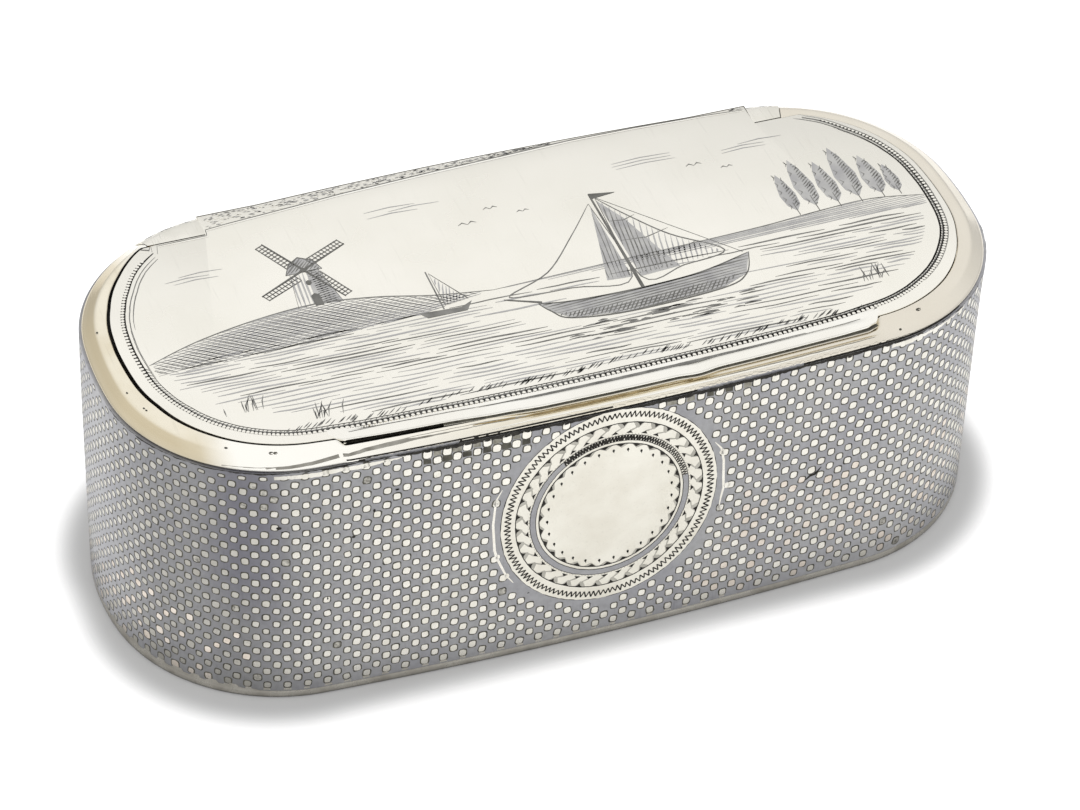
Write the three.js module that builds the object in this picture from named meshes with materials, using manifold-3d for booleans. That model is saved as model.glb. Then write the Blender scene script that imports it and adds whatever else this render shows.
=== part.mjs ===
// Oblong silver box with a nielloed wall and a flush lid on a full-length hinge.
// Millimetres, +Z up. The origin is on the table under the middle of the box,
// +X runs along the length and the front, with the lifting lip, faces -Y.
import * as THREE from 'three';
import { mergeVertices } from 'three/addons/utils/BufferGeometryUtils.js';
import Module from 'manifold-3d';

const wasm = await Module();
wasm.setup();

// Outer form of the rim, seen from above: bowed long sides, curved ends, rounded corners
const LENGTH = 85;
const WIDTH = 38.3;
const SIDE_RADIUS = 430;
const END_RADIUS = 42.4;
const CORNER_RADIUS = 15.9;
const ARC_STEPS = { side: 24, end: 12, corner: 14 };

// How far the wall swells beyond the rim's form, under the rim and further down
const SHOULDER = { length: 0.5, width: 0.2 };
const BELLY = { length: 1.2, width: 0.3, endRadius: 24, cornerRadius: 17 };
const SWELLING = [[0, 1], [0.6, 1], [0.8, 0.8], [0.92, 0.45], [1, 0]];

// Heights of the box body
const FOOT_HEIGHT = 0.9;
const BASE_THICKNESS = 0.8;
const WALL_HEIGHT = 26.5;
const LEDGE_HEIGHT = 0.5;

// Thicknesses across the wall, measured inwards from the outline
const RIM_UNDERCUT = 0.25;
const WALL_THICKNESS = 1.3;
const RIM_WIDTH = 2.2;
const LEDGE_WIDTH = 0.8;
const FOOT_INSET = 0.05;
const FOOT_WIDTH = 2.2;
const FOOT_ROUND = 0.15;
const COLLAR_THICKNESS = 0.8;
const COLLAR_DEPTH = 4;

// Lid and its front lip
const LID_THICKNESS = 0.6;
const LID_GAP = 0.45;
const LID_CLEARANCE = 0.3;
const LID_SET_BACK = 0.3;
const LID_BACK_INSET = 1.1;
const LID_BACK_HALF = 27.6;
const LID_END_AHEAD = 1.5;
const LIP_INSET = 1.45;
const LIP_END_LEFT = 17.7;
const LIP_END_RIGHT = 16.4;
const BEAD_WIDTH = 0.35;
const BEAD_HEIGHT = 0.4;
const ROLL_WIDTH = 1.1;
const ROLL_HEIGHT = 0.3;
const ROLL_SET_IN = 0.1;
const THUMB_CENTRE = 0.6;
const THUMB_HALF_WIDTH = 9;
const THUMB_REACH = 0.75;
const THUMB_RISE = 0.1;
const LIP_STEPS = 48;

// Hinge
const RAIL_END_LEFT = 8.5;
const RAIL_END_RIGHT = 11.3;
const AXIS_SET_IN = 2.85;
const AXIS_BELOW_LID_TOP = 1.2;
const BARREL_END = 15.6;
const KNUCKLE_COUNT = 9;
const KNUCKLE_RADIUS = 0.7;
const KNUCKLE_BORE = 0.42;
const KNUCKLE_GAP = 0.25;
const KNUCKLE_TAB = 0.6;
const KNUCKLE_RELIEF = 0.15;
const PIN_RADIUS = 0.3;
const PLUG_LENGTH = 0.6;
const SWING_ROOM = 0.15;
const TROUGH_DEPTH = 2.5;
const STRAP_HEIGHT = 2.2;
const STRAP_WIDTH = 1.7;
const LID_STRAP_HEIGHT = 1.0;
const STRAP_AHEAD = 0.5;
const SIDES = { knuckle: 20, bore: 14, pin: 14, hollow: 32, trough: 36 };

// Clearances
const SOLDER_GAP = 0.2;
const SEAT_GAP = 0.3;
const BEYOND = 20;

// Worked-out places
const HALF_LENGTH = LENGTH / 2;
const HALF_WIDTH = WIDTH / 2;
const WALL_BOTTOM = FOOT_HEIGHT;
const WALL_TOP = WALL_BOTTOM + WALL_HEIGHT;
const SEAT_Z = WALL_TOP + LEDGE_HEIGHT;
const LID_BOTTOM = SEAT_Z + LID_CLEARANCE;
const LID_TOP = LID_BOTTOM + LID_THICKNESS;
const RIM_TOP = LID_TOP;
const RIM_HEIGHT = RIM_TOP - WALL_TOP;
const WALL_INNER = WALL_THICKNESS;
const COLLAR_INSET = WALL_INNER + SEAT_GAP;
const LID_INSET = RIM_WIDTH + LID_GAP;
const LIP_LEFT = HALF_LENGTH - LIP_END_LEFT;
const LIP_RIGHT = HALF_LENGTH - LIP_END_RIGHT;
const RAIL_LEFT = HALF_LENGTH - RAIL_END_LEFT;
const RAIL_RIGHT = HALF_LENGTH - RAIL_END_RIGHT;
const AXIS_Y = HALF_WIDTH - AXIS_SET_IN;
const AXIS_Z = LID_TOP - AXIS_BELOW_LID_TOP;
const BARREL_HALF = HALF_LENGTH - BARREL_END;
const KNUCKLE_PITCH = (2 * BARREL_HALF + KNUCKLE_GAP) / KNUCKLE_COUNT;
const KNUCKLE_LENGTH = KNUCKLE_PITCH - KNUCKLE_GAP;
const SLOT_HALF = BARREL_HALF + PLUG_LENGTH + KNUCKLE_GAP + SEAT_GAP;
const STRAP_TOP = AXIS_Z - TROUGH_DEPTH;
const LID_STRAP_BACK = AXIS_Y - KNUCKLE_RADIUS - STRAP_AHEAD;

// Colours and finishes
const SILVER = { color: 0xe4e0d2, roughness: 0.3, metalness: 0.95 };
const GILT = { color: 0xdccb9c, roughness: 0.25, metalness: 0.95 };
const NIELLOED = { color: 0x9a9aa2, roughness: 0.4, metalness: 0.7 };
const STEEL = { color: 0x9c9a94, roughness: 0.4, metalness: 0.9 };

// The centres and end angles of the arcs that make a quarter of an outline
function outlineArcs(halfLength, halfWidth, endRadius, cornerRadius) {
  const sideCentreY = halfWidth - SIDE_RADIUS;
  const endCentreX = halfLength - endRadius;
  const sideReach = SIDE_RADIUS - cornerRadius;
  const endReach = endRadius - cornerRadius;
  const apart = Math.hypot(endCentreX, sideCentreY);
  const along = (apart ** 2 + sideReach ** 2 - endReach ** 2) / (2 * apart);
  const across = Math.sqrt(sideReach ** 2 - along ** 2);
  const ux = endCentreX / apart;
  const uy = -sideCentreY / apart;
  const corner = {
    x: ux * along + uy * across,
    y: sideCentreY + uy * along - ux * across,
  };
  const sideAngle = Math.atan2(corner.y - sideCentreY, corner.x);
  const endAngle = Math.atan2(corner.y, corner.x - endCentreX);
  return { sideCentreY, endCentreX, endRadius, cornerRadius, corner, sideAngle, endAngle };
}

const RIM_FORM = outlineArcs(HALF_LENGTH, HALF_WIDTH, END_RADIUS, CORNER_RADIUS);

// The wall's own outline, from the shoulder (share 0) to the belly (share 1)
function wallForm(share) {
  return outlineArcs(
    HALF_LENGTH + (SHOULDER.length + (BELLY.length - SHOULDER.length) * share) / 2,
    HALF_WIDTH + (SHOULDER.width + (BELLY.width - SHOULDER.width) * share) / 2,
    END_RADIUS + (BELLY.endRadius - END_RADIUS) * share,
    CORNER_RADIUS + (BELLY.cornerRadius - CORNER_RADIUS) * share,
  );
}

function arc(centreX, centreY, radius, from, to, steps) {
  const points = [];
  for (let i = 0; i < steps; i += 1) {
    const angle = from + ((to - from) * i) / steps;
    const x = centreX + radius * Math.cos(angle);
    const y = centreY + radius * Math.sin(angle);
    points.push(new THREE.Vector2(x, y));
  }
  return points;
}

// An outline drawn in by an inset, counterclockwise from the right-hand end
function oblong(inset, form = RIM_FORM) {
  const { sideCentreY, endCentreX, corner, sideAngle, endAngle } = form;
  const side = SIDE_RADIUS - inset;
  const end = form.endRadius - inset;
  const round = form.cornerRadius - inset;
  const turn = Math.PI;
  return [
    ...arc(endCentreX, 0, end, -endAngle, endAngle, ARC_STEPS.end),
    ...arc(corner.x, corner.y, round, endAngle, sideAngle, ARC_STEPS.corner),
    ...arc(0, sideCentreY, side, sideAngle, turn - sideAngle, ARC_STEPS.side),
    ...arc(-corner.x, corner.y, round, turn - sideAngle, turn - endAngle, ARC_STEPS.corner),
    ...arc(-endCentreX, 0, end, turn - endAngle, turn + endAngle, ARC_STEPS.end),
    ...arc(-corner.x, -corner.y, round, turn + endAngle, turn + sideAngle, ARC_STEPS.corner),
    ...arc(0, -sideCentreY, side, turn + sideAngle, 2 * turn - sideAngle, ARC_STEPS.side),
    ...arc(corner.x, -corner.y, round, -sideAngle, -endAngle, ARC_STEPS.corner),
  ];
}

function extruded(points, bottom, top, holePoints = null) {
  const shape = new THREE.Shape(points);
  if (holePoints) shape.holes.push(new THREE.Path(holePoints));
  const settings = { depth: top - bottom, bevelEnabled: false };
  return new THREE.ExtrudeGeometry(shape, settings).translate(0, 0, bottom);
}

// A block given by its lowest and highest corners
function block(low, high) {
  const size = high.map((value, i) => value - low[i]);
  const middle = high.map((value, i) => (value + low[i]) / 2);
  return new THREE.BoxGeometry(...size).translate(...middle);
}

// A surface of vertex rows joined in order: closed along each row, and
// closed from the last row to the first or capped at both ends
function skin(rows, capped) {
  const count = rows[0].length;
  const vertices = rows.flat().flatMap((p) => [p.x, p.y, p.z]);
  const faces = [];
  const bands = capped ? rows.length - 1 : rows.length;
  for (let i = 0; i < bands; i += 1) {
    const next = (i + 1) % rows.length;
    for (let j = 0; j < count; j += 1) {
      const k = (j + 1) % count;
      faces.push(i * count + j, next * count + k, i * count + k);
      faces.push(i * count + j, next * count + j, next * count + k);
    }
  }
  if (capped) {
    const last = (rows.length - 1) * count;
    for (let j = 1; j < count - 1; j += 1) {
      faces.push(0, j, j + 1);
      faces.push(last, last + j + 1, last + j);
    }
  }
  const geometry = new THREE.BufferGeometry();
  geometry.setAttribute('position', new THREE.Float32BufferAttribute(vertices, 3));
  geometry.setIndex(faces);
  return geometry;
}

// A section of [inset, height] points carried once round the outline, each
// point on the outline's own form where it names one
function ringRound(section) {
  const rows = section.map(([inset, z, form]) => (
    oblong(inset, form).map((p) => new THREE.Vector3(p.x, p.y, z))
  ));
  return skin(rows, false);
}

function solidOf(geometry) {
  const bare = geometry.clone();
  bare.deleteAttribute('normal');
  bare.deleteAttribute('uv');
  const merged = mergeVertices(bare, 1e-5);
  return new wasm.Manifold(new wasm.Mesh({
    numProp: 3,
    vertProperties: new Float32Array(merged.attributes.position.array),
    triVerts: new Uint32Array(merged.index.array),
  }));
}

function geometryOf(solid) {
  const mesh = solid.getMesh();
  const geometry = new THREE.BufferGeometry();
  geometry.setAttribute('position', new THREE.Float32BufferAttribute(mesh.vertProperties, 3));
  geometry.setIndex(Array.from(mesh.triVerts));
  geometry.computeVertexNormals();
  return geometry;
}

function piece(name, geometry, finish) {
  const mesh = new THREE.Mesh(geometry, new THREE.MeshStandardMaterial(finish));
  mesh.name = name;
  return mesh;
}

// How far the thumb lift pushes the lip's edge outwards at a place along it
function thumbBulge(x) {
  const share = Math.abs(x - THUMB_CENTRE) / THUMB_HALF_WIDTH;
  return share < 1 ? (THUMB_REACH * (1 + Math.cos(Math.PI * share))) / 2 : 0;
}

// A point on the bowed front side, drawn in by an inset
function frontPoint(x, inset, z) {
  const radius = SIDE_RADIUS - inset;
  const y = SIDE_RADIUS - HALF_WIDTH - Math.sqrt(radius ** 2 - x ** 2);
  return new THREE.Vector3(x, y, z);
}

// A convex section of [inset, height] points carried along the front lip
function lipStrip(sectionAt, from, to) {
  const rows = [];
  for (let i = 0; i <= LIP_STEPS; i += 1) {
    const x = from + ((to - from) * i) / LIP_STEPS;
    rows.push(sectionAt(x).map(([inset, z]) => frontPoint(x, inset, z)));
  }
  return skin(rows, true);
}

// The lid's plan as a solid between two heights, grown outwards all round
function lidForm(bottom, top, grow) {
  const endZone = solidOf(block(
    [-HALF_LENGTH, -HALF_WIDTH, bottom],
    [HALF_LENGTH, AXIS_Y - LID_END_AHEAD + grow, top],
  ));
  const ends = solidOf(extruded(oblong(LID_INSET - grow), bottom, top)
    .translate(0, LID_SET_BACK, 0)).intersect(endZone);
  const lipZone = solidOf(block(
    [-LIP_LEFT - grow, -HALF_WIDTH, bottom],
    [LIP_RIGHT + grow, 0, top],
  ));
  const lip = solidOf(extruded(oblong(LIP_INSET - grow), bottom, top)).intersect(lipZone);
  const backZone = solidOf(block(
    [-LID_BACK_HALF - grow, 0, bottom],
    [LID_BACK_HALF + grow, HALF_WIDTH, top],
  ));
  const back = solidOf(extruded(oblong(LID_BACK_INSET - grow), bottom, top));
  return ends.add(lip).add(back.intersect(backZone));
}

// Open space in which the barrel sits and the lid's back edge turns: a
// trough about the hinge axis, as wide at each place as the lid's edge reaches
function hingeSlot() {
  const front = solidOf(block(
    [-SLOT_HALF, LID_STRAP_BACK - STRAP_WIDTH - SEAT_GAP, AXIS_Z - KNUCKLE_RADIUS - SEAT_GAP],
    [SLOT_HALF, AXIS_Y + KNUCKLE_RADIUS + SEAT_GAP, RIM_TOP + BEYOND],
  ));
  const rows = [];
  for (let i = 0; i <= ARC_STEPS.side; i += 1) {
    const x = SLOT_HALF * ((2 * i) / ARC_STEPS.side - 1);
    const edgeY = -frontPoint(x, LID_BACK_INSET, 0).y;
    const radius = Math.hypot(edgeY - AXIS_Y, AXIS_BELOW_LID_TOP) + SWING_ROOM;
    const round = arc(0, 0, radius, 2 * Math.PI, 0, SIDES.trough);
    rows.push(round.map((p) => new THREE.Vector3(x, AXIS_Y + p.x, AXIS_Z + p.y)));
  }
  return front.add(solidOf(skin(rows, true)));
}

// Where the silver hinge rail takes the place of the gilt rim
function railZone(trim) {
  return solidOf(block(
    [-RAIL_LEFT + trim, HALF_WIDTH / 2, WALL_TOP - BEYOND],
    [RAIL_RIGHT - trim, HALF_WIDTH + BEYOND, RIM_TOP + BEYOND],
  ));
}

// The rim's crown, as shares of its width in from the outline and of its
// height down from the top
const CROWN = [[1, 0], [0.78, 0.02], [0.46, 0.12], [0.2, 0.29], [0.05, 0.5], [0, 0.71], [0.03, 0.86]];

// Rounded crown outside, square seat for the lid inside
function rimSection() {
  const inner = RIM_WIDTH + LEDGE_WIDTH;
  const crown = CROWN.map(([across, down]) => (
    [RIM_WIDTH * across, RIM_TOP - RIM_HEIGHT * down]
  ));
  return [
    [inner, WALL_TOP],
    [inner, SEAT_Z],
    [RIM_WIDTH, SEAT_Z],
    ...crown,
    [RIM_UNDERCUT, WALL_TOP],
  ];
}

function footRing() {
  const inner = FOOT_INSET + FOOT_WIDTH;
  const belly = wallForm(1);
  return piece('foot_ring', ringRound([
    [inner, 0, belly],
    [inner, FOOT_HEIGHT, belly],
    [FOOT_INSET, FOOT_HEIGHT, belly],
    [FOOT_INSET, FOOT_ROUND, belly],
    [FOOT_INSET + FOOT_ROUND, 0, belly],
  ]), SILVER);
}

function basePlate() {
  const outer = oblong(WALL_INNER + SOLDER_GAP);
  return piece('base_plate', extruded(outer, FOOT_HEIGHT, FOOT_HEIGHT + BASE_THICKNESS), SILVER);
}

function wallBand() {
  const outside = SWELLING.map(([height, share]) => (
    [0, WALL_BOTTOM + WALL_HEIGHT * height, wallForm(share)]
  ));
  const ring = ringRound([
    ...outside.reverse(),
    [WALL_INNER, WALL_BOTTOM],
    [WALL_INNER, WALL_TOP],
  ]);
  return piece('wall_band', geometryOf(solidOf(ring).subtract(hingeSlot())), NIELLOED);
}

function mouthCollar() {
  const inner = oblong(COLLAR_INSET + COLLAR_THICKNESS);
  const ring = extruded(oblong(COLLAR_INSET), WALL_TOP - COLLAR_DEPTH, WALL_TOP, inner);
  const hingeRoom = block(
    [-SLOT_HALF, 0, WALL_TOP - COLLAR_DEPTH - SEAT_GAP],
    [SLOT_HALF, HALF_WIDTH, RIM_TOP],
  );
  return piece('mouth_collar', geometryOf(solidOf(ring).subtract(solidOf(hingeRoom))), GILT);
}

function rim() {
  const lipRoom = block(
    [-LIP_LEFT - LID_GAP, -HALF_WIDTH - BEYOND, SEAT_Z],
    [LIP_RIGHT + LID_GAP, 0, RIM_TOP + BEYOND],
  );
  const solid = solidOf(ringRound(rimSection()))
    .subtract(lidForm(SEAT_Z, RIM_TOP + BEYOND, LID_GAP))
    .subtract(solidOf(lipRoom))
    .subtract(railZone(0));
  return piece('rim', geometryOf(solid), GILT);
}

function hingeRail() {
  const solid = solidOf(ringRound(rimSection()))
    .intersect(railZone(SEAT_GAP))
    .subtract(lidForm(SEAT_Z, RIM_TOP + BEYOND, LID_GAP))
    .subtract(hingeSlot());
  return piece('hinge_rail', geometryOf(solid), SILVER);
}

function bodyStrap() {
  const zone = block(
    [-BARREL_HALF, AXIS_Y - STRAP_AHEAD, STRAP_TOP - STRAP_HEIGHT],
    [BARREL_HALF, HALF_WIDTH, STRAP_TOP],
  );
  const inside = extruded(oblong(COLLAR_INSET), STRAP_TOP - STRAP_HEIGHT, STRAP_TOP);
  return piece('body_hinge_strap', geometryOf(solidOf(zone).intersect(solidOf(inside))), SILVER);
}

function lidStrap() {
  return piece('lid_hinge_strap', block(
    [-BARREL_HALF, LID_STRAP_BACK - STRAP_WIDTH, LID_BOTTOM - LID_STRAP_HEIGHT],
    [BARREL_HALF, LID_STRAP_BACK, LID_BOTTOM],
  ), SILVER);
}

// A bored barrel with a tab to its strap: straight down on the box, forwards on the lid
function knuckle(index) {
  const onLid = index % 2 === 1;
  const half = KNUCKLE_TAB / 2;
  const spread = Math.asin(half / KNUCKLE_RADIUS);
  const reach = onLid ? AXIS_Y - LID_STRAP_BACK : AXIS_Z - STRAP_TOP;
  const barrel = arc(0, 0, KNUCKLE_RADIUS, spread, 2 * Math.PI - spread, SIDES.knuckle);
  const outline = [new THREE.Vector2(reach, -half), new THREE.Vector2(reach, half), ...barrel];
  outline.push(new THREE.Vector2(KNUCKLE_RADIUS * Math.cos(spread), -half));
  const shape = new THREE.Shape(outline);
  shape.holes.push(new THREE.Path(arc(0, 0, KNUCKLE_BORE, 0, 2 * Math.PI, SIDES.bore)));
  const geometry = new THREE.ExtrudeGeometry(shape, { depth: KNUCKLE_LENGTH, bevelEnabled: false });
  geometry.rotateZ(onLid ? -Math.PI / 2 : 0);
  geometry.rotateY(Math.PI / 2);
  const start = -BARREL_HALF + index * KNUCKLE_PITCH;
  geometry.translate(start, AXIS_Y, AXIS_Z);
  const owner = onLid ? 'lid' : 'body';
  return piece(`${owner}_knuckle_${Math.floor(index / 2) + 1}`, geometry, SILVER);
}

// A round rod on the hinge axis, given by its middle along the axis
function axisRod(radius, length, x, sides) {
  const rod = new THREE.CylinderGeometry(radius, radius, length, sides);
  return rod.rotateZ(Math.PI / 2).translate(x, AXIS_Y, AXIS_Z);
}

function hingePin() {
  const length = 2 * (BARREL_HALF + KNUCKLE_GAP);
  return piece('hinge_pin', axisRod(PIN_RADIUS, length, 0, SIDES.pin), STEEL);
}

function pinPlug(side, name) {
  const x = side * (BARREL_HALF + KNUCKLE_GAP + PLUG_LENGTH / 2);
  return piece(name, axisRod(KNUCKLE_RADIUS, PLUG_LENGTH, x, SIDES.knuckle), SILVER);
}

// The plate is hollowed underneath where its back edge passes over the barrel
function lidPlate() {
  const hollow = axisRod(KNUCKLE_RADIUS + KNUCKLE_RELIEF, 2 * SLOT_HALF, 0, SIDES.hollow);
  const solid = lidForm(LID_BOTTOM, LID_TOP, 0).subtract(solidOf(hollow));
  return piece('lid_plate', geometryOf(solid), SILVER);
}

// Shares of the roll's width and height that make its half-round section
const ROLL_SECTION = [[0, 0], [0.12, 0.7], [0.5, 1], [0.88, 0.7], [1, 0]];

// Raised half-round moulding on top of the lid's front edge
function lipRoll() {
  const outer = LIP_INSET + ROLL_SET_IN;
  const section = () => ROLL_SECTION.map(([across, up]) => (
    [outer + ROLL_WIDTH * across, LID_TOP + ROLL_HEIGHT * up]
  ));
  return piece('lip_roll', lipStrip(section, -LIP_LEFT, LIP_RIGHT), SILVER);
}

// Thin wire along the lip's lower edge, following the thumb lift
function lipBead() {
  const section = (x) => {
    const back = LIP_INSET - SOLDER_GAP - thumbBulge(x);
    const front = back - BEAD_WIDTH;
    const flat = BEAD_HEIGHT / 4;
    return [
      [back, LID_BOTTOM],
      [front, LID_BOTTOM + flat],
      [front, LID_BOTTOM + BEAD_HEIGHT - flat],
      [back, LID_BOTTOM + BEAD_HEIGHT],
    ];
  };
  return piece('lip_bead', lipStrip(section, -LIP_LEFT, LIP_RIGHT), SILVER);
}

// Shallow lift for the thumb: it lies on the bead and is soldered to the lid's edge
function thumbLift() {
  const seat = LID_BOTTOM + BEAD_HEIGHT;
  const section = (x) => {
    const front = LIP_INSET - SOLDER_GAP - BEAD_WIDTH / 2 - thumbBulge(x);
    return [
      [LIP_INSET - SOLDER_GAP, seat],
      [front, seat],
      [front, LID_TOP - THUMB_RISE],
      [LIP_INSET - SOLDER_GAP, LID_TOP + THUMB_RISE],
    ];
  };
  const from = THUMB_CENTRE - THUMB_HALF_WIDTH;
  return piece('thumb_lift', lipStrip(section, from, from + 2 * THUMB_HALF_WIDTH), SILVER);
}

const body = new THREE.Group();
body.add(footRing(), basePlate(), wallBand(), mouthCollar(), rim(), hingeRail());
body.add(bodyStrap(), hingePin(), pinPlug(-1, 'pin_plug_left'), pinPlug(1, 'pin_plug_right'));

const lid = new THREE.Group();
lid.add(lidPlate(), lipRoll(), lipBead(), thumbLift(), lidStrap());

for (let index = 0; index < KNUCKLE_COUNT; index += 1) {
  const owner = index % 2 === 1 ? lid : body;
  owner.add(knuckle(index));
}

const box = new THREE.Group();
box.add(body, lid);

export default box;
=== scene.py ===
# %% [markdown]
# Silver niello box
# The box is a pocket box of sheet silver with curved ends. Its wall is
# engraved and filled with niello, a grey alloy of silver, copper, lead and
# sulphur that is melted into the cut metal. Small squares of silver are left
# standing in the niello as bright dots. The rim is gilt, the lid is plain
# silver with an engraved picture and a rope border.
# This lesson dresses the solids of the box, cell by cell.

# %% Load the solids
import math
import random
import bpy
from mathutils import Matrix, Vector


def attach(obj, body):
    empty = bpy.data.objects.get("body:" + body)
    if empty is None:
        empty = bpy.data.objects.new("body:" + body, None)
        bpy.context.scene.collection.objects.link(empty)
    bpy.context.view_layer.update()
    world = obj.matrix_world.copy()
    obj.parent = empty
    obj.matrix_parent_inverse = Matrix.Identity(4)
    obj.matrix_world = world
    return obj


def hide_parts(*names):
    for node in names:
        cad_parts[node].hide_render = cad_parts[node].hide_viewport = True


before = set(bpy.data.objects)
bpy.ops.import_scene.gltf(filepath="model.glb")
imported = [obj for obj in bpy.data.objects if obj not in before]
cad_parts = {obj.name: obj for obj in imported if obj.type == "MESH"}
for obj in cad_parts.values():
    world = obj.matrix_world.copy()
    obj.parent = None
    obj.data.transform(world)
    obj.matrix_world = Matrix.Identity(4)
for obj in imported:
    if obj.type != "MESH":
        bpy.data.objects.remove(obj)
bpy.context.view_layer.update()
MM = 0.001

# %% [markdown]
# The outline of the box
# Seen from above, the box is four shallow arcs joined by four rounder ones:
# long sides, ends and corners. A silversmith bends the wall round a wooden
# former of this shape. Every piece follows the same outline, so one function
# gives the point of the outline whose outward direction has a given angle,
# and another turns a length along the outline into that angle. The length is
# 0 in the middle of the front and grows towards the right-hand end.

# %% The outline's arcs
RIM_FORM = (42.5, 19.15, 430.0, 42.4, 15.9)
SHOULDER_FORM = (42.75, 19.25, 430.0, 42.4, 15.9)
BELLY_FORM = (43.07, 19.25, 430.0, 24.0, 17.0)


def form_arcs(form):
    half_length, half_width, side, end, corner = form
    side_y = half_width - side
    end_x = half_length - end
    gap = math.hypot(end_x, side_y)
    side_reach = side - corner
    end_reach = end - corner
    along = (side_reach ** 2 - end_reach ** 2 + gap ** 2) / (2 * gap)
    across = math.sqrt(side_reach ** 2 - along ** 2)
    step_x, step_y = end_x / gap, -side_y / gap
    corner_x = along * step_x + across * step_y
    corner_y = side_y + along * step_y - across * step_x
    if corner_y < 0:
        corner_x = along * step_x - across * step_y
        corner_y = side_y + along * step_y + across * step_x
    return {
        "side": (0.0, side_y, side),
        "corner": (corner_x, corner_y, corner),
        "end": (end_x, 0.0, end),
        "side_angle": math.atan2(corner_y - side_y, corner_x),
        "end_angle": math.atan2(corner_y, corner_x - end_x),
    }

# %% [markdown]
# Walking round the outline
# Each form is turned into its arcs once. A point is then found from the
# direction that it faces, and a direction from the length walked so far.

# %% Points and lengths along the outline
RIM_ARCS = form_arcs(RIM_FORM)
SHOULDER_ARCS = form_arcs(SHOULDER_FORM)
BELLY_ARCS = form_arcs(BELLY_FORM)


def arc_point(arcs, angle):
    across, ahead = math.cos(angle), math.sin(angle)
    quarter = math.atan2(abs(ahead), abs(across))
    if quarter < arcs["end_angle"]:
        x, y, radius = arcs["end"]
    elif quarter < arcs["side_angle"]:
        x, y, radius = arcs["corner"]
    else:
        x, y, radius = arcs["side"]
    x += radius * abs(across)
    y += radius * abs(ahead)
    return math.copysign(x, across), math.copysign(y, ahead)


def arc_lengths(arcs):
    side = arcs["side"][2] * (math.pi / 2 - arcs["side_angle"])
    corner = arcs["corner"][2] * (arcs["side_angle"] - arcs["end_angle"])
    end = arcs["end"][2] * arcs["end_angle"]
    return side, corner, end, side + corner + end


QUARTER = arc_lengths(RIM_ARCS)[3]
AROUND = 4 * QUARTER


def angle_at(length, arcs=RIM_ARCS):
    side, corner, _, whole = arc_lengths(arcs)
    quarter, rest = divmod(length / QUARTER % 4, 1.0)
    rest = (1 - rest if quarter in (1, 3) else rest) * whole
    if rest < side:
        turn = math.pi / 2 - rest / arcs["side"][2]
    elif rest < side + corner:
        turn = arcs["side_angle"] - (rest - side) / arcs["corner"][2]
    else:
        turn = arcs["end_angle"] - (rest - side - corner) / arcs["end"][2]
    return (-turn, turn, math.pi - turn, math.pi + turn)[int(quarter) % 4]


print("round the outline", round(AROUND, 2), "mm")

# %% [markdown]
# Places on the box
# Three maps put a flat drawing on the box. The rim map takes a length along
# the outline, a distance in from it and a height. The wall map takes a length
# and a height and follows the wall's slight swelling. The lid map takes plain
# x and y. Each has a lift, because engraved and inlaid marks are laid a few
# thousandths of a millimetre proud of the metal that they belong to.

# %% Maps from a drawing to the box
WALL_LOW = 0.9
WALL_HIGH = 27.6
LID_BOTTOM = 28.2
LID_TOP = 28.8
BELLY_SHARE = 0.6
BELLY_POWER = 2.5


def rim_at(length, inset, height):
    angle = angle_at(length)
    x, y = arc_point(RIM_ARCS, angle)
    return Vector((x - inset * math.cos(angle), y - inset * math.sin(angle), height)) * MM


def wall_at(length, height, lift=0.0):
    share = (height - WALL_LOW) / (WALL_HIGH - WALL_LOW)
    slim = max(0.0, (share - BELLY_SHARE) / (1 - BELLY_SHARE)) ** BELLY_POWER
    low_angle = angle_at(length, BELLY_ARCS)
    x, y = arc_point(BELLY_ARCS, low_angle)
    if slim > 0:
        high_x, high_y = arc_point(SHOULDER_ARCS, angle_at(length, SHOULDER_ARCS))
        x += (high_x - x) * slim
        y += (high_y - y) * slim
    angle = angle_at(length)
    return Vector((x + lift * math.cos(angle), y + lift * math.sin(angle), height)) * MM


def wall_section_at(length, inset, height):
    return wall_at(length, height, -inset)


def lid_at(x, y, lift=0.0):
    return Vector((x, y, LID_TOP + lift)) * MM


def length_at(x, back):
    low, high = (QUARTER, 3 * QUARTER) if back else (-QUARTER, QUARTER)
    for _ in range(40):
        middle = (low + high) / 2
        here = rim_at(middle, 0.0, 0.0).x / MM
        go_on = here > x if back else here < x
        low, high = (middle, high) if go_on else (low, middle)
    return (low + high) / 2


def smooth(low, high, value):
    share = min(1.0, max(0.0, (value - low) / (high - low)))
    return share * share * (3 - 2 * share)


print("the wall's widest half length", round(wall_at(QUARTER, 5.0).x / MM, 2), "mm")

# %% [markdown]
# A moulding carried round the outline
# A silversmith draws a strip to its section and bends it round the box. Here
# a flat grid is the strip: its columns are stations along the outline and
# its rows are the points of the section. The section may change from place
# to place, as the rim does where the lid's lip lies over it. The seams are
# welded, the ends closed and the faces turned outwards. The grid's UV map is
# kept in real lengths, so that scratches and hatching can run along a piece.

# %% Carry a section
FOLD_ANGLE = math.radians(32)
WELD = 1e-7
LEAST_COLUMNS = 3


def only(piece):
    bpy.ops.object.select_all(action="DESELECT")
    piece.select_set(True)
    bpy.context.view_layer.objects.active = piece


def finish_mesh(piece):
    only(piece)
    bpy.ops.object.mode_set(mode="EDIT")
    bpy.ops.mesh.select_all(action="SELECT")
    bpy.ops.mesh.remove_doubles(threshold=WELD)
    bpy.ops.mesh.fill_holes(sides=0)
    bpy.ops.mesh.select_all(action="SELECT")
    bpy.ops.mesh.normals_make_consistent(inside=False)
    bpy.ops.object.mode_set(mode="OBJECT")
    bpy.ops.object.shade_smooth_by_angle(angle=FOLD_ANGLE)


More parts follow.
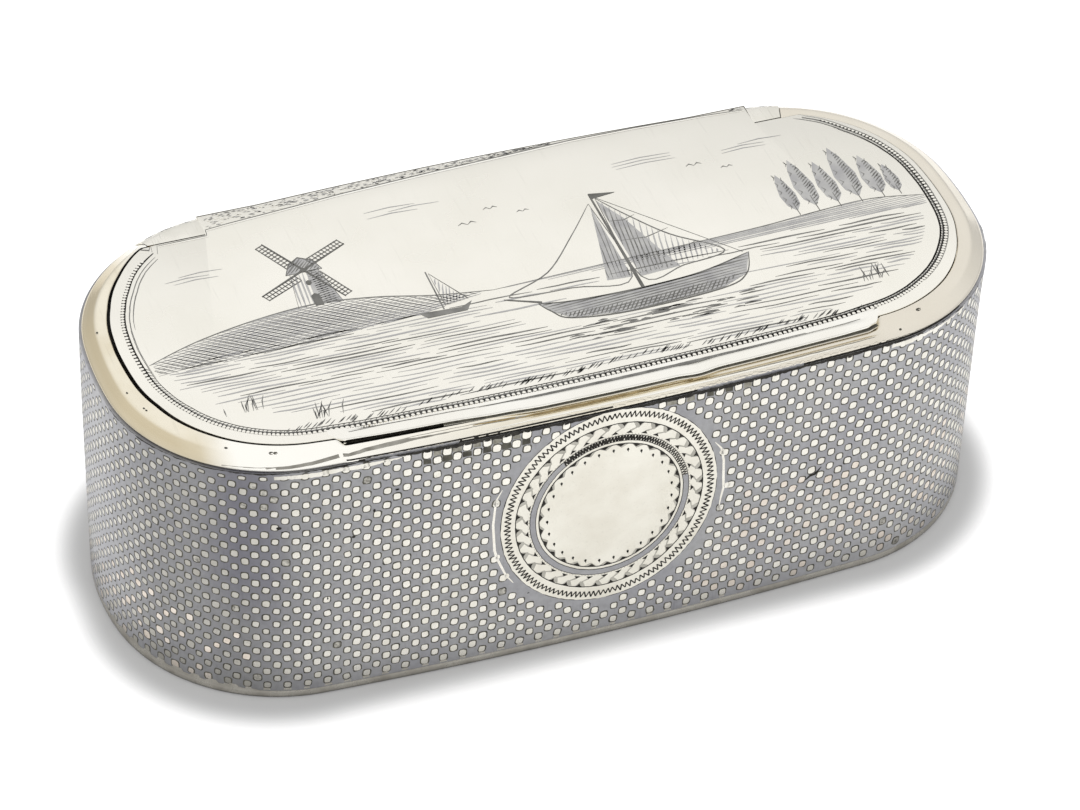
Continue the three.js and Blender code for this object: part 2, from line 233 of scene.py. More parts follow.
def carried(name, place, section, start, stop, step):
    columns = max(LEAST_COLUMNS, round((stop - start) / step))
    rows = len(section(start))
    bpy.ops.object.select_all(action="DESELECT")
    bpy.ops.mesh.primitive_grid_add(x_subdivisions=columns, y_subdivisions=rows, size=1.0)
    piece = bpy.context.object
    piece.name = name
    mesh = piece.data
    mesh.name = name
    lengths = [start + (stop - start) * i / columns for i in range(columns + 1)]
    sections = [section(length) for length in lengths]
    where = []
    for vertex in mesh.vertices:
        column = round((vertex.co.x + 0.5) * columns)
        row = round((vertex.co.y + 0.5) * rows)
        where.append((column, row))
        vertex.co = place(lengths[column], *sections[column][row % rows])
    runs = [0.0]
    for row in range(rows):
        here, there = sections[0][row], sections[0][(row + 1) % rows]
        runs.append(runs[-1] + math.dist(here, there))
    lengthwise = mesh.uv_layers.active.data
    for loop in mesh.loops:
        column, row = where[loop.vertex_index]
        lengthwise[loop.index].uv = (lengths[column] * MM, runs[row] * MM)
    finish_mesh(piece)
    print(name, len(mesh.polygons), "faces")
    return piece

# %% [markdown]
# Colours and finishes
# Silver and gilt silver are metals, so their colour is the colour of what
# they reflect. Niello is duller: it is a sulphide, half metal, half glassy.
# Every finish starts from two close colours mixed by a soft cloud, and adds
# the fine marks that handling leaves. One function reads a colour as it is
# written for a screen, and one adds a node.

# %% Colour and node helpers
# The standard curve that turns a screen's value into an amount of light
DARK_LIMIT = 0.04045
DARK_SLOPE = 12.92
CURVE_SHIFT = 0.055
CURVE_POWER = 2.4


def bare_light(value):
    if value <= DARK_LIMIT:
        return value / DARK_SLOPE
    return ((value + CURVE_SHIFT) / (1 + CURVE_SHIFT)) ** CURVE_POWER


def colour(code):
    red, green, blue = (bare_light(value / 255) for value in bytes.fromhex(code[1:]))
    return red, green, blue, 1.0


def add(tree, kind, settings=None, links=None):
    node = tree.nodes.new(kind)
    for key, value in (settings or {}).items():
        if isinstance(key, int) or key in node.inputs:
            node.inputs[key].default_value = value
        else:
            setattr(node, key, value)
    for key, source in (links or {}).items():
        tree.links.new(source, node.inputs[key])
    return node


def blank(name):
    material = bpy.data.materials.new(name)
    material.use_nodes = True
    tree = material.node_tree
    shader = tree.nodes["Principled BSDF"]
    return material, tree, shader


def blend_colours(tree, factor, first, second):
    mix = add(tree, "ShaderNodeMix", {"data_type": "RGBA"}, {0: factor})
    for slot, value in ((6, first), (7, second)):
        if isinstance(value, str):
            mix.inputs[slot].default_value = colour(value)
        else:
            tree.links.new(value, mix.inputs[slot])
    return mix.outputs[2]

# %% [markdown]
# Clouds, scratches and tones
# A finish is built in layers, as wear is. Noise gives clouds, the same noise
# stretched gives scratches, and a tone can rise or fall along the box.

# %% Clouds, scratches and tones
def cloud(tree, coords, grain_mm, low, high, detail=3.0):
    noise = add(tree, "ShaderNodeTexNoise", {"Scale": 1 / (grain_mm * MM), "Detail": detail},
                {"Vector": coords})
    ramp = add(tree, "ShaderNodeMapRange", {"From Min": low, "From Max": high},
               {"Value": noise.outputs["Fac"]})
    return ramp.outputs["Result"]


def scratches(tree, coords, stretch, turn, grain_mm, low, high):
    turned = add(tree, "ShaderNodeMapping", {"Rotation": (0, 0, turn), "Scale": stretch},
                 {"Vector": coords})
    return cloud(tree, turned.outputs["Vector"], grain_mm, low, high, 2.0)


def tone_along(tree, coords, axis, stops):
    low, high = stops[0][0], stops[-1][0]
    place = add(tree, "ShaderNodeSeparateXYZ", None, {0: coords}).outputs[axis]
    share = add(tree, "ShaderNodeMapRange", {"From Min": low * MM, "From Max": high * MM},
                {"Value": place}).outputs["Result"]
    ramp = add(tree, "ShaderNodeValToRGB", None, {0: share})
    points = ramp.color_ramp.elements
    while len(points) < len(stops):
        points.new(0.5)
    for point, (value, tone) in zip(points, stops):
        point.position = (value - low) / (high - low)
        point.color = (tone, tone, tone, 1.0)
    return ramp.outputs["Color"]


def multiply(tree, first, second):
    mix = add(tree, "ShaderNodeMix", {"data_type": "RGBA", "blend_type": "MULTIPLY", 0: 1.0})
    tree.links.new(first, mix.inputs[6])
    tree.links.new(second, mix.inputs[7])
    return mix.outputs[2]


# Blends a tint in where ramps along the box overlap. It lays painted highlights and reflections, and
# one plain change of colour.
def tint_by_place(material, tint, *bounds):
    tree = material.node_tree
    base = tree.nodes["Principled BSDF"].inputs["Base Color"]
    below = base.links[0].from_socket
    where = add(tree, "ShaderNodeTexCoord").outputs["Object"]
    share = tone_along(tree, where, *bounds[0])
    for bound in bounds[1:]:
        share = multiply(tree, share, tone_along(tree, where, *bound))
    tree.links.new(blend_colours(tree, share, below, tint), base)

# %% [markdown]
# Worked silver
# Old silver that is kept polished is cream rather than white. It has soft
# clouds where it was rubbed, and hair-fine scratches that cross at random.
# The same recipe gives the lid, the dots and the foot, with other colours,
# and the gilding: a thin skin of gold that wear has made pale.

# %% Polished metal finish
CLOUD_SPAN = (0.35, 0.7)
HAIR_STRETCH = (1.0, 0.05, 1.0)
HAIR_TURNS = (0.5, 2.1)
HAIR_SPANS = ((0.62, 0.72), (0.64, 0.74))
HAIR_TONE = "#6F6A5E"
HAIR_RELIEF = 0.12
SMOOTHEST = 0.8
ROUGHEST = 1.25


# A finish may take a tone along one axis, which paints shade into its colour.
def polished(name, light, dark, rough, cloud_mm=6.0, hair_mm=0.35, hair=0.12, painted_shade=None,
             axis="X", relief=0.02):
    material, tree, shader = blank(name)
    where = add(tree, "ShaderNodeTexCoord").outputs["Object"]
    soft = cloud(tree, where, cloud_mm, *CLOUD_SPAN)
    tone = blend_colours(tree, soft, light, dark)
    first, second = (scratches(tree, where, HAIR_STRETCH, turn, hair_mm, *span)
                     for turn, span in zip(HAIR_TURNS, HAIR_SPANS))
    both = add(tree, "ShaderNodeMath", {"operation": "MAXIMUM"}, {0: first, 1: second}).outputs[0]
    faint = add(tree, "ShaderNodeMath", {"operation": "MULTIPLY", 1: hair}, {0: both}).outputs[0]
    toned = blend_colours(tree, faint, tone, HAIR_TONE)
    if painted_shade:
        toned = multiply(tree, toned, tone_along(tree, where, axis, painted_shade))
    tree.links.new(toned, shader.inputs["Base Color"])
    spread = add(tree, "ShaderNodeMapRange", {"To Min": rough * SMOOTHEST,
                                               "To Max": rough * ROUGHEST}, {"Value": soft})
    tree.links.new(spread.outputs["Result"], shader.inputs["Roughness"])
    bump = add(tree, "ShaderNodeBump", {"Strength": HAIR_RELIEF, "Distance": relief * MM},
               {"Height": both})
    tree.links.new(bump.outputs["Normal"], shader.inputs["Normal"])
    shader.inputs["Metallic"].default_value = 1.0
    return material


# Polished silver sheet: cream white, nearly a mirror, with faint clouds
lid_silver = polished("polished_silver_sheet", "#F5F2E9", "#F1EEE4", 0.24, 9.0, 0.3, 0.04)
# Silver wire worn by table tops: greyer, and darker towards its lower edge,
# a painted shade where it meets the table
foot_silver = polished("worn_silver_foot_wire_with_painted_shade", "#E0DCD2", "#BDB8AE", 0.3, 2.0, 0.3, 0.2,
                       ((0.0, 0.3), (0.2, 0.42), (0.42, 0.9), (0.9, 1.0)), "Z")
# Burnished silver, rubbed with a hard tool: the smoothest and brightest
lip_silver = polished("burnished_silver_moulding", "#F8F6EF", "#F2EFE6", 0.16, 6.0, 0.3, 0.03)
# Worn gilding: a thin gold skin, pale where it is rubbed. Light is painted
# into it too: darker towards its lower edge, a tan painted reflection on the
# left end's outer slope, and a painted highlight round the front-left corner.
# It is also greyer towards the right.
gilt_rim = polished("worn_gilding_with_painted_light", "#F0E9D7", "#E4DAC2", 0.2, 5.0, 0.35, 0.06,
                    ((27.6, 0.6), (27.72, 0.75), (27.84, 0.98), (27.98, 0.86), (28.14, 0.94),
                     (28.34, 1.0), (28.8, 1.0)), "Z")
# Painted reflection: tan on the outer slope of the left end.
tint_by_place(gilt_rim, "#CBBD9E", ("X", ((-43.5, 1.0), (-38.6, 1.0), (-33.5, 0.0), (43.5, 0.0))),
      ("Z", ((27.8, 0.2), (27.95, 0.7), (28.3, 0.9), (28.6, 0.85), (28.73, 0.15), (28.8, 0.0))))
# Painted highlight: near white round the front-left corner, fading along the front.
tint_by_place(gilt_rim, "#FFFDF6", ("X", ((-43.5, 0.0), (-36.8, 0.0), (-34.0, 0.95), (-25.0, 0.9),
                                  (-14.0, 0.4), (-6.0, 0.2), (8.0, 0.2), (20.0, 0.0), (43.5, 0.0))))
tint_by_place(gilt_rim, "#E2DCD0", ("X", ((-43.5, 0.0), (5.0, 0.0), (22.0, 0.75), (43.5, 0.85))))
# Gilding that no hand rubs: a deeper yellow
gilt_inside = polished("gilt_silver_inside", "#E3C98C", "#D2B26E", 0.3, 8.0)
# Drawn silver tube: duller and a little scratched
hinge_silver = polished("drawn_silver_hinge_tube", "#D9D6CC", "#BEBAAE", 0.3, 2.0)
# Drawn wire: dark grey, because oil and dust stay on it
pin_wire = polished("drawn_hinge_wire", "#A8A6A0", "#8E8C86", 0.35, 1.0)
# The rail's strip: bright, with more scratches than the lid
strip_silver = polished("silver_of_the_hinge_rail", "#F0EDE4", "#E4E1D7", 0.3, 3.0, 0.2, 0.15)
print("finishes for plain metal:", len(bpy.data.materials))

# %% [markdown]
# Niello
# Niello is rubbed down flush with the silver, so it is smooth but never
# mirror bright. It is a cool grey with clouds of blue and brown, small pits
# and many fine polishing marks that run down the wall. The marks are read
# along the wall's own UV map, in real millimetres.

# %% Niello finish
# Painted light and shade along the box: the niello is darkest near the left end and lightest on the
# ends.
NIELLO_PAINTED_SHADE = ((-43.2, 0.95), (-42.2, 0.72), (-40.6, 0.52), (-37.5, 0.5), (-34.0, 0.42),
                  (-30.5, 0.52), (-25.0, 0.63), (-8.0, 0.68), (12.0, 0.68), (36.0, 0.78),
                  (42.4, 0.9), (43.2, 1.0))
NIELLO_CLOUD = (7.0, 0.36, 0.66)
NIELLO_GRAIN = (0.5, 0.35, 0.75, 5.0)
GRAIN_SHARE = 0.3
RUB_STRETCH = (1.0, 0.12, 1.0)
RUB_TURN = 0.35
RUB_MARKS = (0.4, 0.6, 0.75)
RUB_SHARE = 0.22
PIT_STRENGTH = 0.2
PIT_DEPTH = 0.01


def niello(name):
    material, tree, shader = blank(name)
    coords = add(tree, "ShaderNodeTexCoord")
    where = coords.outputs["Object"]
    soft = cloud(tree, where, *NIELLO_CLOUD)
    base = blend_colours(tree, soft, "#C6C6C8", "#BABAC0")
    fine = cloud(tree, where, *NIELLO_GRAIN)
    mottle = add(tree, "ShaderNodeMath", {"operation": "MULTIPLY", 1: GRAIN_SHARE},
                 {0: fine}).outputs[0]
    mottled = blend_colours(tree, mottle, base, "#92918E")
    rubbed = scratches(tree, coords.outputs["UV"], RUB_STRETCH, RUB_TURN, *RUB_MARKS)
    faint = add(tree, "ShaderNodeMath", {"operation": "MULTIPLY", 1: RUB_SHARE},
                {0: rubbed}).outputs[0]
    marked = blend_colours(tree, faint, mottled, "#7C7B84")
    toned = multiply(tree, marked, tone_along(tree, where, "X", NIELLO_PAINTED_SHADE))
    tree.links.new(toned, shader.inputs["Base Color"])
    bump = add(tree, "ShaderNodeBump", {"Strength": PIT_STRENGTH, "Distance": PIT_DEPTH * MM},
               {"Height": fine})
    tree.links.new(bump.outputs["Normal"], shader.inputs["Normal"])
    shader.inputs["Metallic"].default_value = 0.35
    shader.inputs["Roughness"].default_value = 0.42
    return material


# Niello rubbed flush: cool grey, with clouds of blue and brown
niello_ground = niello("niello_melted_and_rubbed_flush")
# Painted reflection: a darker blue-grey band high on the wall near the left end.
tint_by_place(niello_ground, "#57556A", ("X", ((-43.5, 0.0), (-37.5, 0.1), (-34.6, 0.5), (-31.8, 0.4),
                                       (-29.8, 0.0), (43.5, 0.0))),
      ("Z", ((0.0, 0.0), (9.0, 0.1), (15.0, 0.9), (24.0, 1.0), (28.0, 0.8))))

# %% [markdown]
# Dark lines
# Where niello or old polish sits deep in a cut it looks almost black, and
# under the dots' edges it has a greenish brown tone. The lid's finer lines
# are shallower, so they stay grey.

# %% Dark line finishes
LINE_CLOUD = (0.35, 0.65)
LINE_GLOSS = 0.2


def dark_line(name, light, dark, grain_mm, rough):
    material, tree, shader = blank(name)
    where = add(tree, "ShaderNodeTexCoord").outputs["Object"]
    soft = cloud(tree, where, grain_mm, *LINE_CLOUD)
    tree.links.new(blend_colours(tree, soft, light, dark), shader.inputs["Base Color"])
    shader.inputs["Roughness"].default_value = rough
    shader.inputs["Specular IOR Level"].default_value = LINE_GLOSS
    return material


# Niello in a deep cut: nearly black, as no light comes back out. The same
# black is painted shade in the gap beside the lid and under the rim
deep_black_and_painted_shade = dark_line("niello_in_a_deep_cut_and_painted_shade", "#35332E", "#1B1916", 0.8, 0.6)
# Tarnish round a dot: a greenish brown edge that makes the dot stand out.
# It also paints the shade in the groove between the lip and its bead
dot_edge_and_painted_shade = dark_line("tarnish_round_a_dot_and_painted_shade", "#5C5A50", "#3F3D37", 0.7, 0.55)
# Niello in a fine cut: grey, because bright walls show beside it
grey_cut = dark_line("niello_in_a_fine_cut", "#8A8985", "#6C6B68", 1.2, 0.5)
# Niello in shallow shading: so thin that it only dims the silver
tint_cut = dark_line("niello_in_shallow_shading", "#BEBDBA", "#ABAAAA", 1.5, 0.5)
DOT_PAINTED_SHADE = ((-43.2, 0.8), (-41.8, 0.66), (-39.5, 0.5), (-36.0, 0.5), (-33.0, 0.62), (-29.0, 0.86),
               (-20.0, 0.94), (-6.0, 1.0), (8.0, 0.96), (30.0, 0.9), (42.0, 0.85), (43.2, 0.85))
# Silver left standing: bright cream squares, with painted shade that makes
# them duller towards the box's ends, most near the left end
dot_silver = polished("silver_left_standing_as_dots", "#FBF8EF", "#EFEBDF", 0.3, 1.4, 0.3, 0.15,
                      DOT_PAINTED_SHADE)
print("all finishes:", len(bpy.data.materials))

# %% [markdown]
# The wall
# The wall is one strip of sheet silver, bent to the outline and soldered
# where the ends meet. It swells a little towards the foot. At the back its
# inner face is scooped round the hinge, so that the lid's back edge has room
# to turn. The section is carried round the outline, and its inner points
# follow that scoop, which is a circle about the hinge's axis. The scoop goes
# on a little past the hinge, so that no slanting face is left in the way.

# %% The wall and its scoop
AXIS_Y = 16.3
AXIS_Z = 27.6
HINGE_HALF = 27.75
LID_BACK_INSET = 1.0
LID_BACK_LEAST = 17.6
TURNING_ROOM = 0.04
WALL_THICK = 1.3
SCOOP_LOW = 25.3
SCOOP_SPARE = 0.7
CARRY_STEP = 0.6


def back_edge_y(x, inset):
    side = RIM_FORM[2] - inset
    return RIM_FORM[1] - RIM_FORM[2] + math.sqrt(side ** 2 - x ** 2)


def lid_back_y(x):
    return max(LID_BACK_LEAST, back_edge_y(x, LID_BACK_INSET))


def scoop_y(x, height):
    radius = math.hypot(lid_back_y(x) - AXIS_Y, LID_TOP - AXIS_Z) + TURNING_ROOM
    rise = height - AXIS_Z
    return AXIS_Y + math.sqrt(max(0.0, radius ** 2 - rise ** 2))


def in_hinge(length, spare=0.0):
    spot = rim_at(length, 0.0, 0.0) / MM
    return spot.y > 0 and abs(spot.x) < HINGE_HALF + spare


def wall_inner(length, height):
    spot = rim_at(length, 0.0, 0.0) / MM
    if not in_hinge(length, SCOOP_SPARE) or height < SCOOP_LOW:
        return WALL_THICK
    return min(WALL_THICK, spot.y - scoop_y(spot.x, height))


WALL_HEIGHTS = (0.9, 4.0, 8.0, 12.0, 15.0, 18.0, 20.0, 22.0, 23.5, 24.8, 26.0, 26.9, 27.6)
INNER_HEIGHTS = (27.6, 27.2, 26.9, 26.5, 26.2, 25.9, 25.7, 25.55, 25.45, 25.36, 25.31,
                 25.25, 12.0, 0.9)


def wall_section(length):
    outside = [(0.0, height) for height in WALL_HEIGHTS]
    return outside + [(wall_inner(length, height), height) for height in INNER_HEIGHTS]


wall = carried("wall_shell", wall_section_at, wall_section, 0.0, AROUND, CARRY_STEP)
wall.data.materials.append(niello_ground)
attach(wall, "box")
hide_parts("wall_band")

# %% [markdown]
# The foot
# The foot is a flat wire soldered under the wall, its lower edge rubbed
# round by a long life on table tops.

# %% The foot
FOOT_SECTION = ((2.2, 0.0), (2.2, 0.9), (0.03, 0.9), (0.0, 0.8), (0.0, 0.32), (0.06, 0.14),
                (0.18, 0.04), (0.36, 0.0))

foot = carried("foot_wire", wall_section_at, lambda length: FOOT_SECTION, 0.0, AROUND, CARRY_STEP)
foot.data.materials.append(foot_silver)
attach(foot, "box")
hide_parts("foot_ring")

# %% [markdown]
# The gilt rim
# At the ends the rim is a broad moulding, flat on top and rounded outside.
# Along the front it runs low under the lid's lip: a ridge beside the gap, a
# hollow, then a convex satin band. The change from one section to the other
# is a short S-shaped step at each end of the lip, which a jeweller files by
# eye. So the rim has three sections of equally many points, blended along it.

# %% The rim's sections
CROWN = ((3.2, 27.4), (3.2, 27.9), (2.2, 27.9), (2.2, 28.72), (2.13, 28.79), (1.75, 28.8),
         (1.45, 28.79), (1.27, 28.74), (1.1, 28.63), (0.85, 28.46), (0.6, 28.29), (0.38, 28.14),
         (0.2, 28.02), (0.06, 27.93), (0.01, 27.83), (0.06, 27.68), (0.2, 27.62))
RIDGED = ((3.0, 27.4), (3.0, 27.9), (1.9, 27.9), (1.6, 27.95), (1.56, 28.32), (1.46, 28.42),
          (1.26, 28.42), (1.08, 28.34), (0.92, 28.2), (0.74, 28.07), (0.54, 28.02), (0.34, 27.99),
          (0.15, 27.95), (0.03, 27.86), (0.01, 27.76), (0.06, 27.68), (0.2, 27.62))
LOW = ((3.0, 27.4), (3.0, 27.9), (1.9, 27.9), (1.75, 28.0), (1.6, 28.14), (1.4, 28.17),
       (1.22, 28.17), (1.08, 28.1), (0.95, 28.08), (0.8, 28.12), (0.6, 28.15), (0.4, 28.1),
       (0.18, 27.98), (0.04, 27.88), (0.01, 27.78), (0.06, 27.68), (0.2, 27.62))
LIP_LEFT = -24.9
LIP_RIGHT = 26.9
STEP_LONG = 0.9
RIDGE_FADE = (-12.0, -7.0)
LID_END_Y = 14.8
GAP_LINE = ((-76.0, 1.3), (-74.0, 1.42), (-71.7, 1.6), (-67.7, 2.1), (-62.2, 2.46), (-55.2, 2.46),
            (-50.5, 2.64), (-45.7, 2.88), (-38.4, 2.71), (-31.0, 2.43), (-25.5, 2.2), (-20.0, 2.2),
            (24.0, 2.52), (37.6, 2.46), (46.0, 2.58), (50.5, 2.44), (62.0, 2.45), (76.0, 2.2))
GAP_HALF = ((-76.0, 0.1), (-62.0, 0.15), (-45.0, 0.15), (-36.0, 0.1), (-26.0, 0.08), (26.0, 0.04),
            (76.0, 0.04))

# %% [markdown]
# The gap beside the lid
# The saw cut between lid and rim wanders, because it was made by hand. Two
# tables hold its middle and half its width at several lengths, and the rim
# and the lid both take their edge from them, so that they always fit.

# %% The gap beside the lid
def table_value(table, value):
    if value <= table[0][0]:
        return table[0][1]
    for (low, first), (high, second) in zip(table, table[1:]):
        if value <= high:
            return first + (second - first) * (value - low) / (high - low)
    return table[-1][1]


def blended(first, second, share):
    return [tuple(a + (b - a) * share for a, b in zip(p, q)) for p, q in zip(first, second)]


def front_length(length):
    return (length + AROUND / 2) % AROUND - AROUND / 2


FACES_BACK = 0.5


def gap_edge(length, side):
    here = front_length(length)
    inset = table_value(GAP_LINE, here)
    turn = math.sin(angle_at(length))
    if turn > FACES_BACK:
        inset = max(inset, (rim_at(length, 0.0, 0.0).y / MM - LID_END_Y) / turn)
    return inset + side * table_value(GAP_HALF, here)


LEDGE_HEIGHT = 27.9
LEDGE_POINT = 2
LAND_POINTS = ((3, 0.0), (4, 0.07), (5, 0.12), (6, 0.18), (7, 0.25))
CHAMFER_FROM = 5


def rim_section(length):
    here = front_length(length)
    inner = gap_edge(length, -1)
    crown = list(CROWN)
    crown[LEDGE_POINT] = (inner, LEDGE_HEIGHT)
    for i, step in LAND_POINTS:
        inset = inner - step
        crown[i] = (min(CROWN[i][0], inset) if i >= CHAMFER_FROM else inset, CROWN[i][1])
    inside = smooth(LIP_LEFT - STEP_LONG / 2, LIP_LEFT + STEP_LONG / 2, here)
    inside *= 1 - smooth(LIP_RIGHT - STEP_LONG / 2, LIP_RIGHT + STEP_LONG / 2, here)
    lowered = blended(RIDGED, LOW, smooth(*RIDGE_FADE, here))
    return blended(crown, lowered, inside)

# %% [markdown]
# The rim as one piece
# The sections are carried from one end of the hinge rail round the front to
# the other. On the left half the faces that look into the gap beside the lid,
# and the ledge below it, get the black of a deep cut: painted shade in the gap.

# %% The rim's moulding
RAIL_LEFT = -34.0
RAIL_RIGHT = 31.2
SEAM = 0.05
rim_start = length_at(RAIL_LEFT, True) - AROUND + SEAM
rim_stop = length_at(RAIL_RIGHT, True) - SEAM
FINE_STEP = 0.25
rim = carried("rim_moulding", rim_at, rim_section, rim_start, rim_stop, FINE_STEP)
rim.data.materials.append(gilt_rim)
rim.data.materials.append(deep_black_and_painted_shade)
LEDGE_TOP = 27.93
LAND_LOW = 28.7
CENTRE_LINE_HALF = 26.0
FACES_INWARD = -0.7
FACES_UP = 0.5
# Painted shade: the left half's faces that look into the gap, and its ledge, take the second, black
# finish.
for face in rim.data.polygons:
    spot = face.center / MM
    middle = math.copysign(min(abs(spot.x), CENTRE_LINE_HALF), spot.x)
    outward = Vector((spot.x - middle, spot.y, 0.0)).normalized()
    sunk = face.normal.dot(outward) < FACES_INWARD and spot.z < LAND_LOW
    if spot.x < 0 and (sunk or (spot.z < LEDGE_TOP and face.normal.z > FACES_UP)):
        face.material_index = 1
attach(rim, "box")
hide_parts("rim")

# %% [markdown]
# The hinge rail
# Along the back a silver rail takes the rim's place. Its outer face goes on
# the rim's line, its inner face is scooped to the same circle as the wall,
# and beyond the hinge it widens to meet the ends of the lid.

# %% The rail
RAIL_OUTSIDE = ((1.3, 28.78), (1.0, 28.7), (0.72, 28.58), (0.48, 28.42), (0.28, 28.22),
                (0.12, 28.02), (0.02, 27.86), (0.01, 27.76), (0.06, 27.68), (0.2, 27.62))
RAIL_HEIGHTS = (27.4, 27.6, 27.9, 28.2, 28.5, 28.79)
RAIL_SEAT = 27.9
RAIL_SEAT_RISE = 0.02
RAIL_WIDEST = 3.0
RAIL_EDGE = 0.2
RAIL_STEP = 0.1


def rail_section(length):
    spot = rim_at(length, 0.0, 0.0) / MM
    angle = angle_at(length)
    if in_hinge(length):
        insets = [(spot.y - scoop_y(spot.x, height)) for height in RAIL_HEIGHTS]
        inner = list(zip(insets, RAIL_HEIGHTS))
    else:
        reach = (spot.y - LID_END_Y - SEAM * 2) / math.sin(angle)
        ledge = min(RAIL_WIDEST, reach)
        inner = [(ledge, height) for height in RAIL_HEIGHTS[:2]]
        inner += [(ledge, RAIL_SEAT), (reach, RAIL_SEAT + RAIL_SEAT_RISE)]
        inner += [(reach, height) for height in RAIL_HEIGHTS[4:]]
    lip = inner[-1][0]
    outside = [(min(inset, lip - RAIL_EDGE * (1 - inset / 2)), z) for inset, z in RAIL_OUTSIDE]
    return inner + outside


rail = carried("hinge_rail_strip", rim_at, rail_section, length_at(RAIL_RIGHT, True) + SEAM,
               length_at(RAIL_LEFT, True) - SEAM, RAIL_STEP)
rail.data.materials.append(strip_silver)
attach(rail, "box")
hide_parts("hinge_rail")

# %% [markdown]
# The lid's sheet
# The lid is a flat plate sawn to fit inside the rim: curved at the ends,
# reaching back over the hinge, and stepped at the front where the lip
# begins. A circle with as many corners as the outline needs is drawn to that
# shape, pulled down to a plate, and its upper edge is rounded a little, so
# that it catches the bright line that every worn edge has. A cylinder along
# the axis hollows it underneath, where it passes over the hinge's barrel.
# Beyond each end of the hinge a wider cylinder on the same axis takes off the
# lid's lower back edge, which would meet the rail as the lid turns.

# %% Outline of the lid
LID_BACK_HALF = 27.6
LIP_INNER = 3.6
PLAN_STEP = 0.5
BARREL_HOLLOW = 0.85
END_CLEAR = 1.89
LIP_GAP = 0.2
END_CORNER = 0.3
NOTCH_CORNER = 0.08


def crescent_point(length):
    spot = rim_at(length, gap_edge(length, 1), 0.0) / MM
    return spot.x, spot.y


def steps(start, stop, step):
    count = max(1, round(abs(stop - start) / step))
    return [start + (stop - start) * i / count for i in range(count + 1)]


def lid_outline():
    right_stop = length_at(RAIL_RIGHT, True)
    left_start = length_at(RAIL_LEFT, True) - AROUND
    right = [crescent_point(s) for s in steps(LIP_RIGHT - LIP_GAP, right_stop, PLAN_STEP)]
    left = [crescent_point(s) for s in steps(left_start, LIP_LEFT + LIP_GAP, PLAN_STEP)]
    back = []
    for x in steps(LID_BACK_HALF, -LID_BACK_HALF, PLAN_STEP):
        back.append((x, lid_back_y(x)))
    front = []
    for length in steps(LIP_LEFT + LIP_GAP, LIP_RIGHT - LIP_GAP, PLAN_STEP):
        spot = rim_at(length, LIP_INNER, 0.0) / MM
        front.append((spot.x, spot.y))
    corner_right = [(right[-1][0] - END_CORNER, LID_END_Y)]
    corner_right.append((LID_BACK_HALF + NOTCH_CORNER, LID_END_Y))
    corner_right.append((LID_BACK_HALF, LID_END_Y + NOTCH_CORNER))
    corner_left = [(-x, y) for x, y in reversed(corner_right[1:])]
    corner_left.append((left[0][0] + END_CORNER, LID_END_Y))
    return front + right + corner_right + back + corner_left + left

# %% [markdown]
# Cutting the sheet
# The plate is made first, then three cylinders about the hinge's axis cut it
# from below: one for the barrel, and one at each end, so that the lid's ends
# don't catch on the rail when it turns.

# %% The lid's sheet
WORN_EDGE = 0.06
EDGE_ROUND_STEPS = 2
TOP_SLACK = 1e-3
CYLINDER_SIDES = 80
BEYOND_ENDS = 2.0


def plate(name, outline, bottom, top, edge):
    bpy.ops.object.select_all(action="DESELECT")
    bpy.ops.mesh.primitive_circle_add(vertices=len(outline), radius=1.0, fill_type="NGON")
    piece = bpy.context.object
    piece.name = name
    piece.data.name = name
    for vertex, (x, y) in zip(piece.data.vertices, outline):
        vertex.co = Vector((x, y, top)) * MM
    only(piece)
    bpy.ops.object.mode_set(mode="EDIT")
    bpy.ops.mesh.select_all(action="SELECT")
    bpy.ops.mesh.extrude_region_move(TRANSFORM_OT_translate={"value": (0, 0, (bottom - top) * MM)})
    bpy.ops.object.mode_set(mode="OBJECT")
    for part in (piece.data.polygons, piece.data.edges, piece.data.vertices):
        part.foreach_set("select", [False] * len(part))
    for rim_edge in piece.data.edges:
        ends = [piece.data.vertices[i].co.z / MM for i in rim_edge.vertices]
        rim_edge.select = min(ends) > top - TOP_SLACK
    bpy.ops.object.mode_set(mode="EDIT")
    bpy.ops.mesh.select_mode(type="EDGE")
    bpy.ops.mesh.bevel(offset=edge * MM, segments=EDGE_ROUND_STEPS, affect="EDGES")
    bpy.ops.object.mode_set(mode="OBJECT")
    finish_mesh(piece)
    return piece


def cut_away(piece, cutter):
    only(piece)
    hollow = piece.modifiers.new("hollow", "BOOLEAN")
    hollow.operation = "DIFFERENCE"
    hollow.solver = "EXACT"
    hollow.object = cutter
    bpy.ops.object.modifier_apply(modifier=hollow.name)
    bpy.data.objects.remove(cutter)


def axis_cutter(radius, start, stop):
    bpy.ops.object.select_all(action="DESELECT")
    bpy.ops.mesh.primitive_cylinder_add(
        vertices=CYLINDER_SIDES, radius=radius * MM, depth=(stop - start) * MM,
        location=((start + stop) / 2 * MM, AXIS_Y * MM, AXIS_Z * MM), rotation=(0, math.pi / 2, 0))
    bpy.ops.object.transform_apply(location=True, rotation=True, scale=True)
    return bpy.context.object


lid = plate("lid_sheet", lid_outline(), LID_BOTTOM, LID_TOP, WORN_EDGE)
over = LID_BACK_HALF + BEYOND_ENDS
cut_away(lid, axis_cutter(BARREL_HOLLOW, -over, over))
cut_away(lid, axis_cutter(END_CLEAR, LID_BACK_HALF, RIM_FORM[0]))
cut_away(lid, axis_cutter(END_CLEAR, -RIM_FORM[0], -LID_BACK_HALF))
finish_mesh(lid)
lid.data.materials.append(lid_silver)
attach(lid, "lid")
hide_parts("lid_plate")
print("lid sheet faces", len(lid.data.polygons))

# %% [markdown]
# The lip
# Along the front the lid ends in a lip: a shallow hollow, then a half-round
# roll, then a fine bead along its lower edge. In the middle the lip swells
# outwards a little, for the thumb. Near its ends the moulding dies away into
# the flat of the lid.

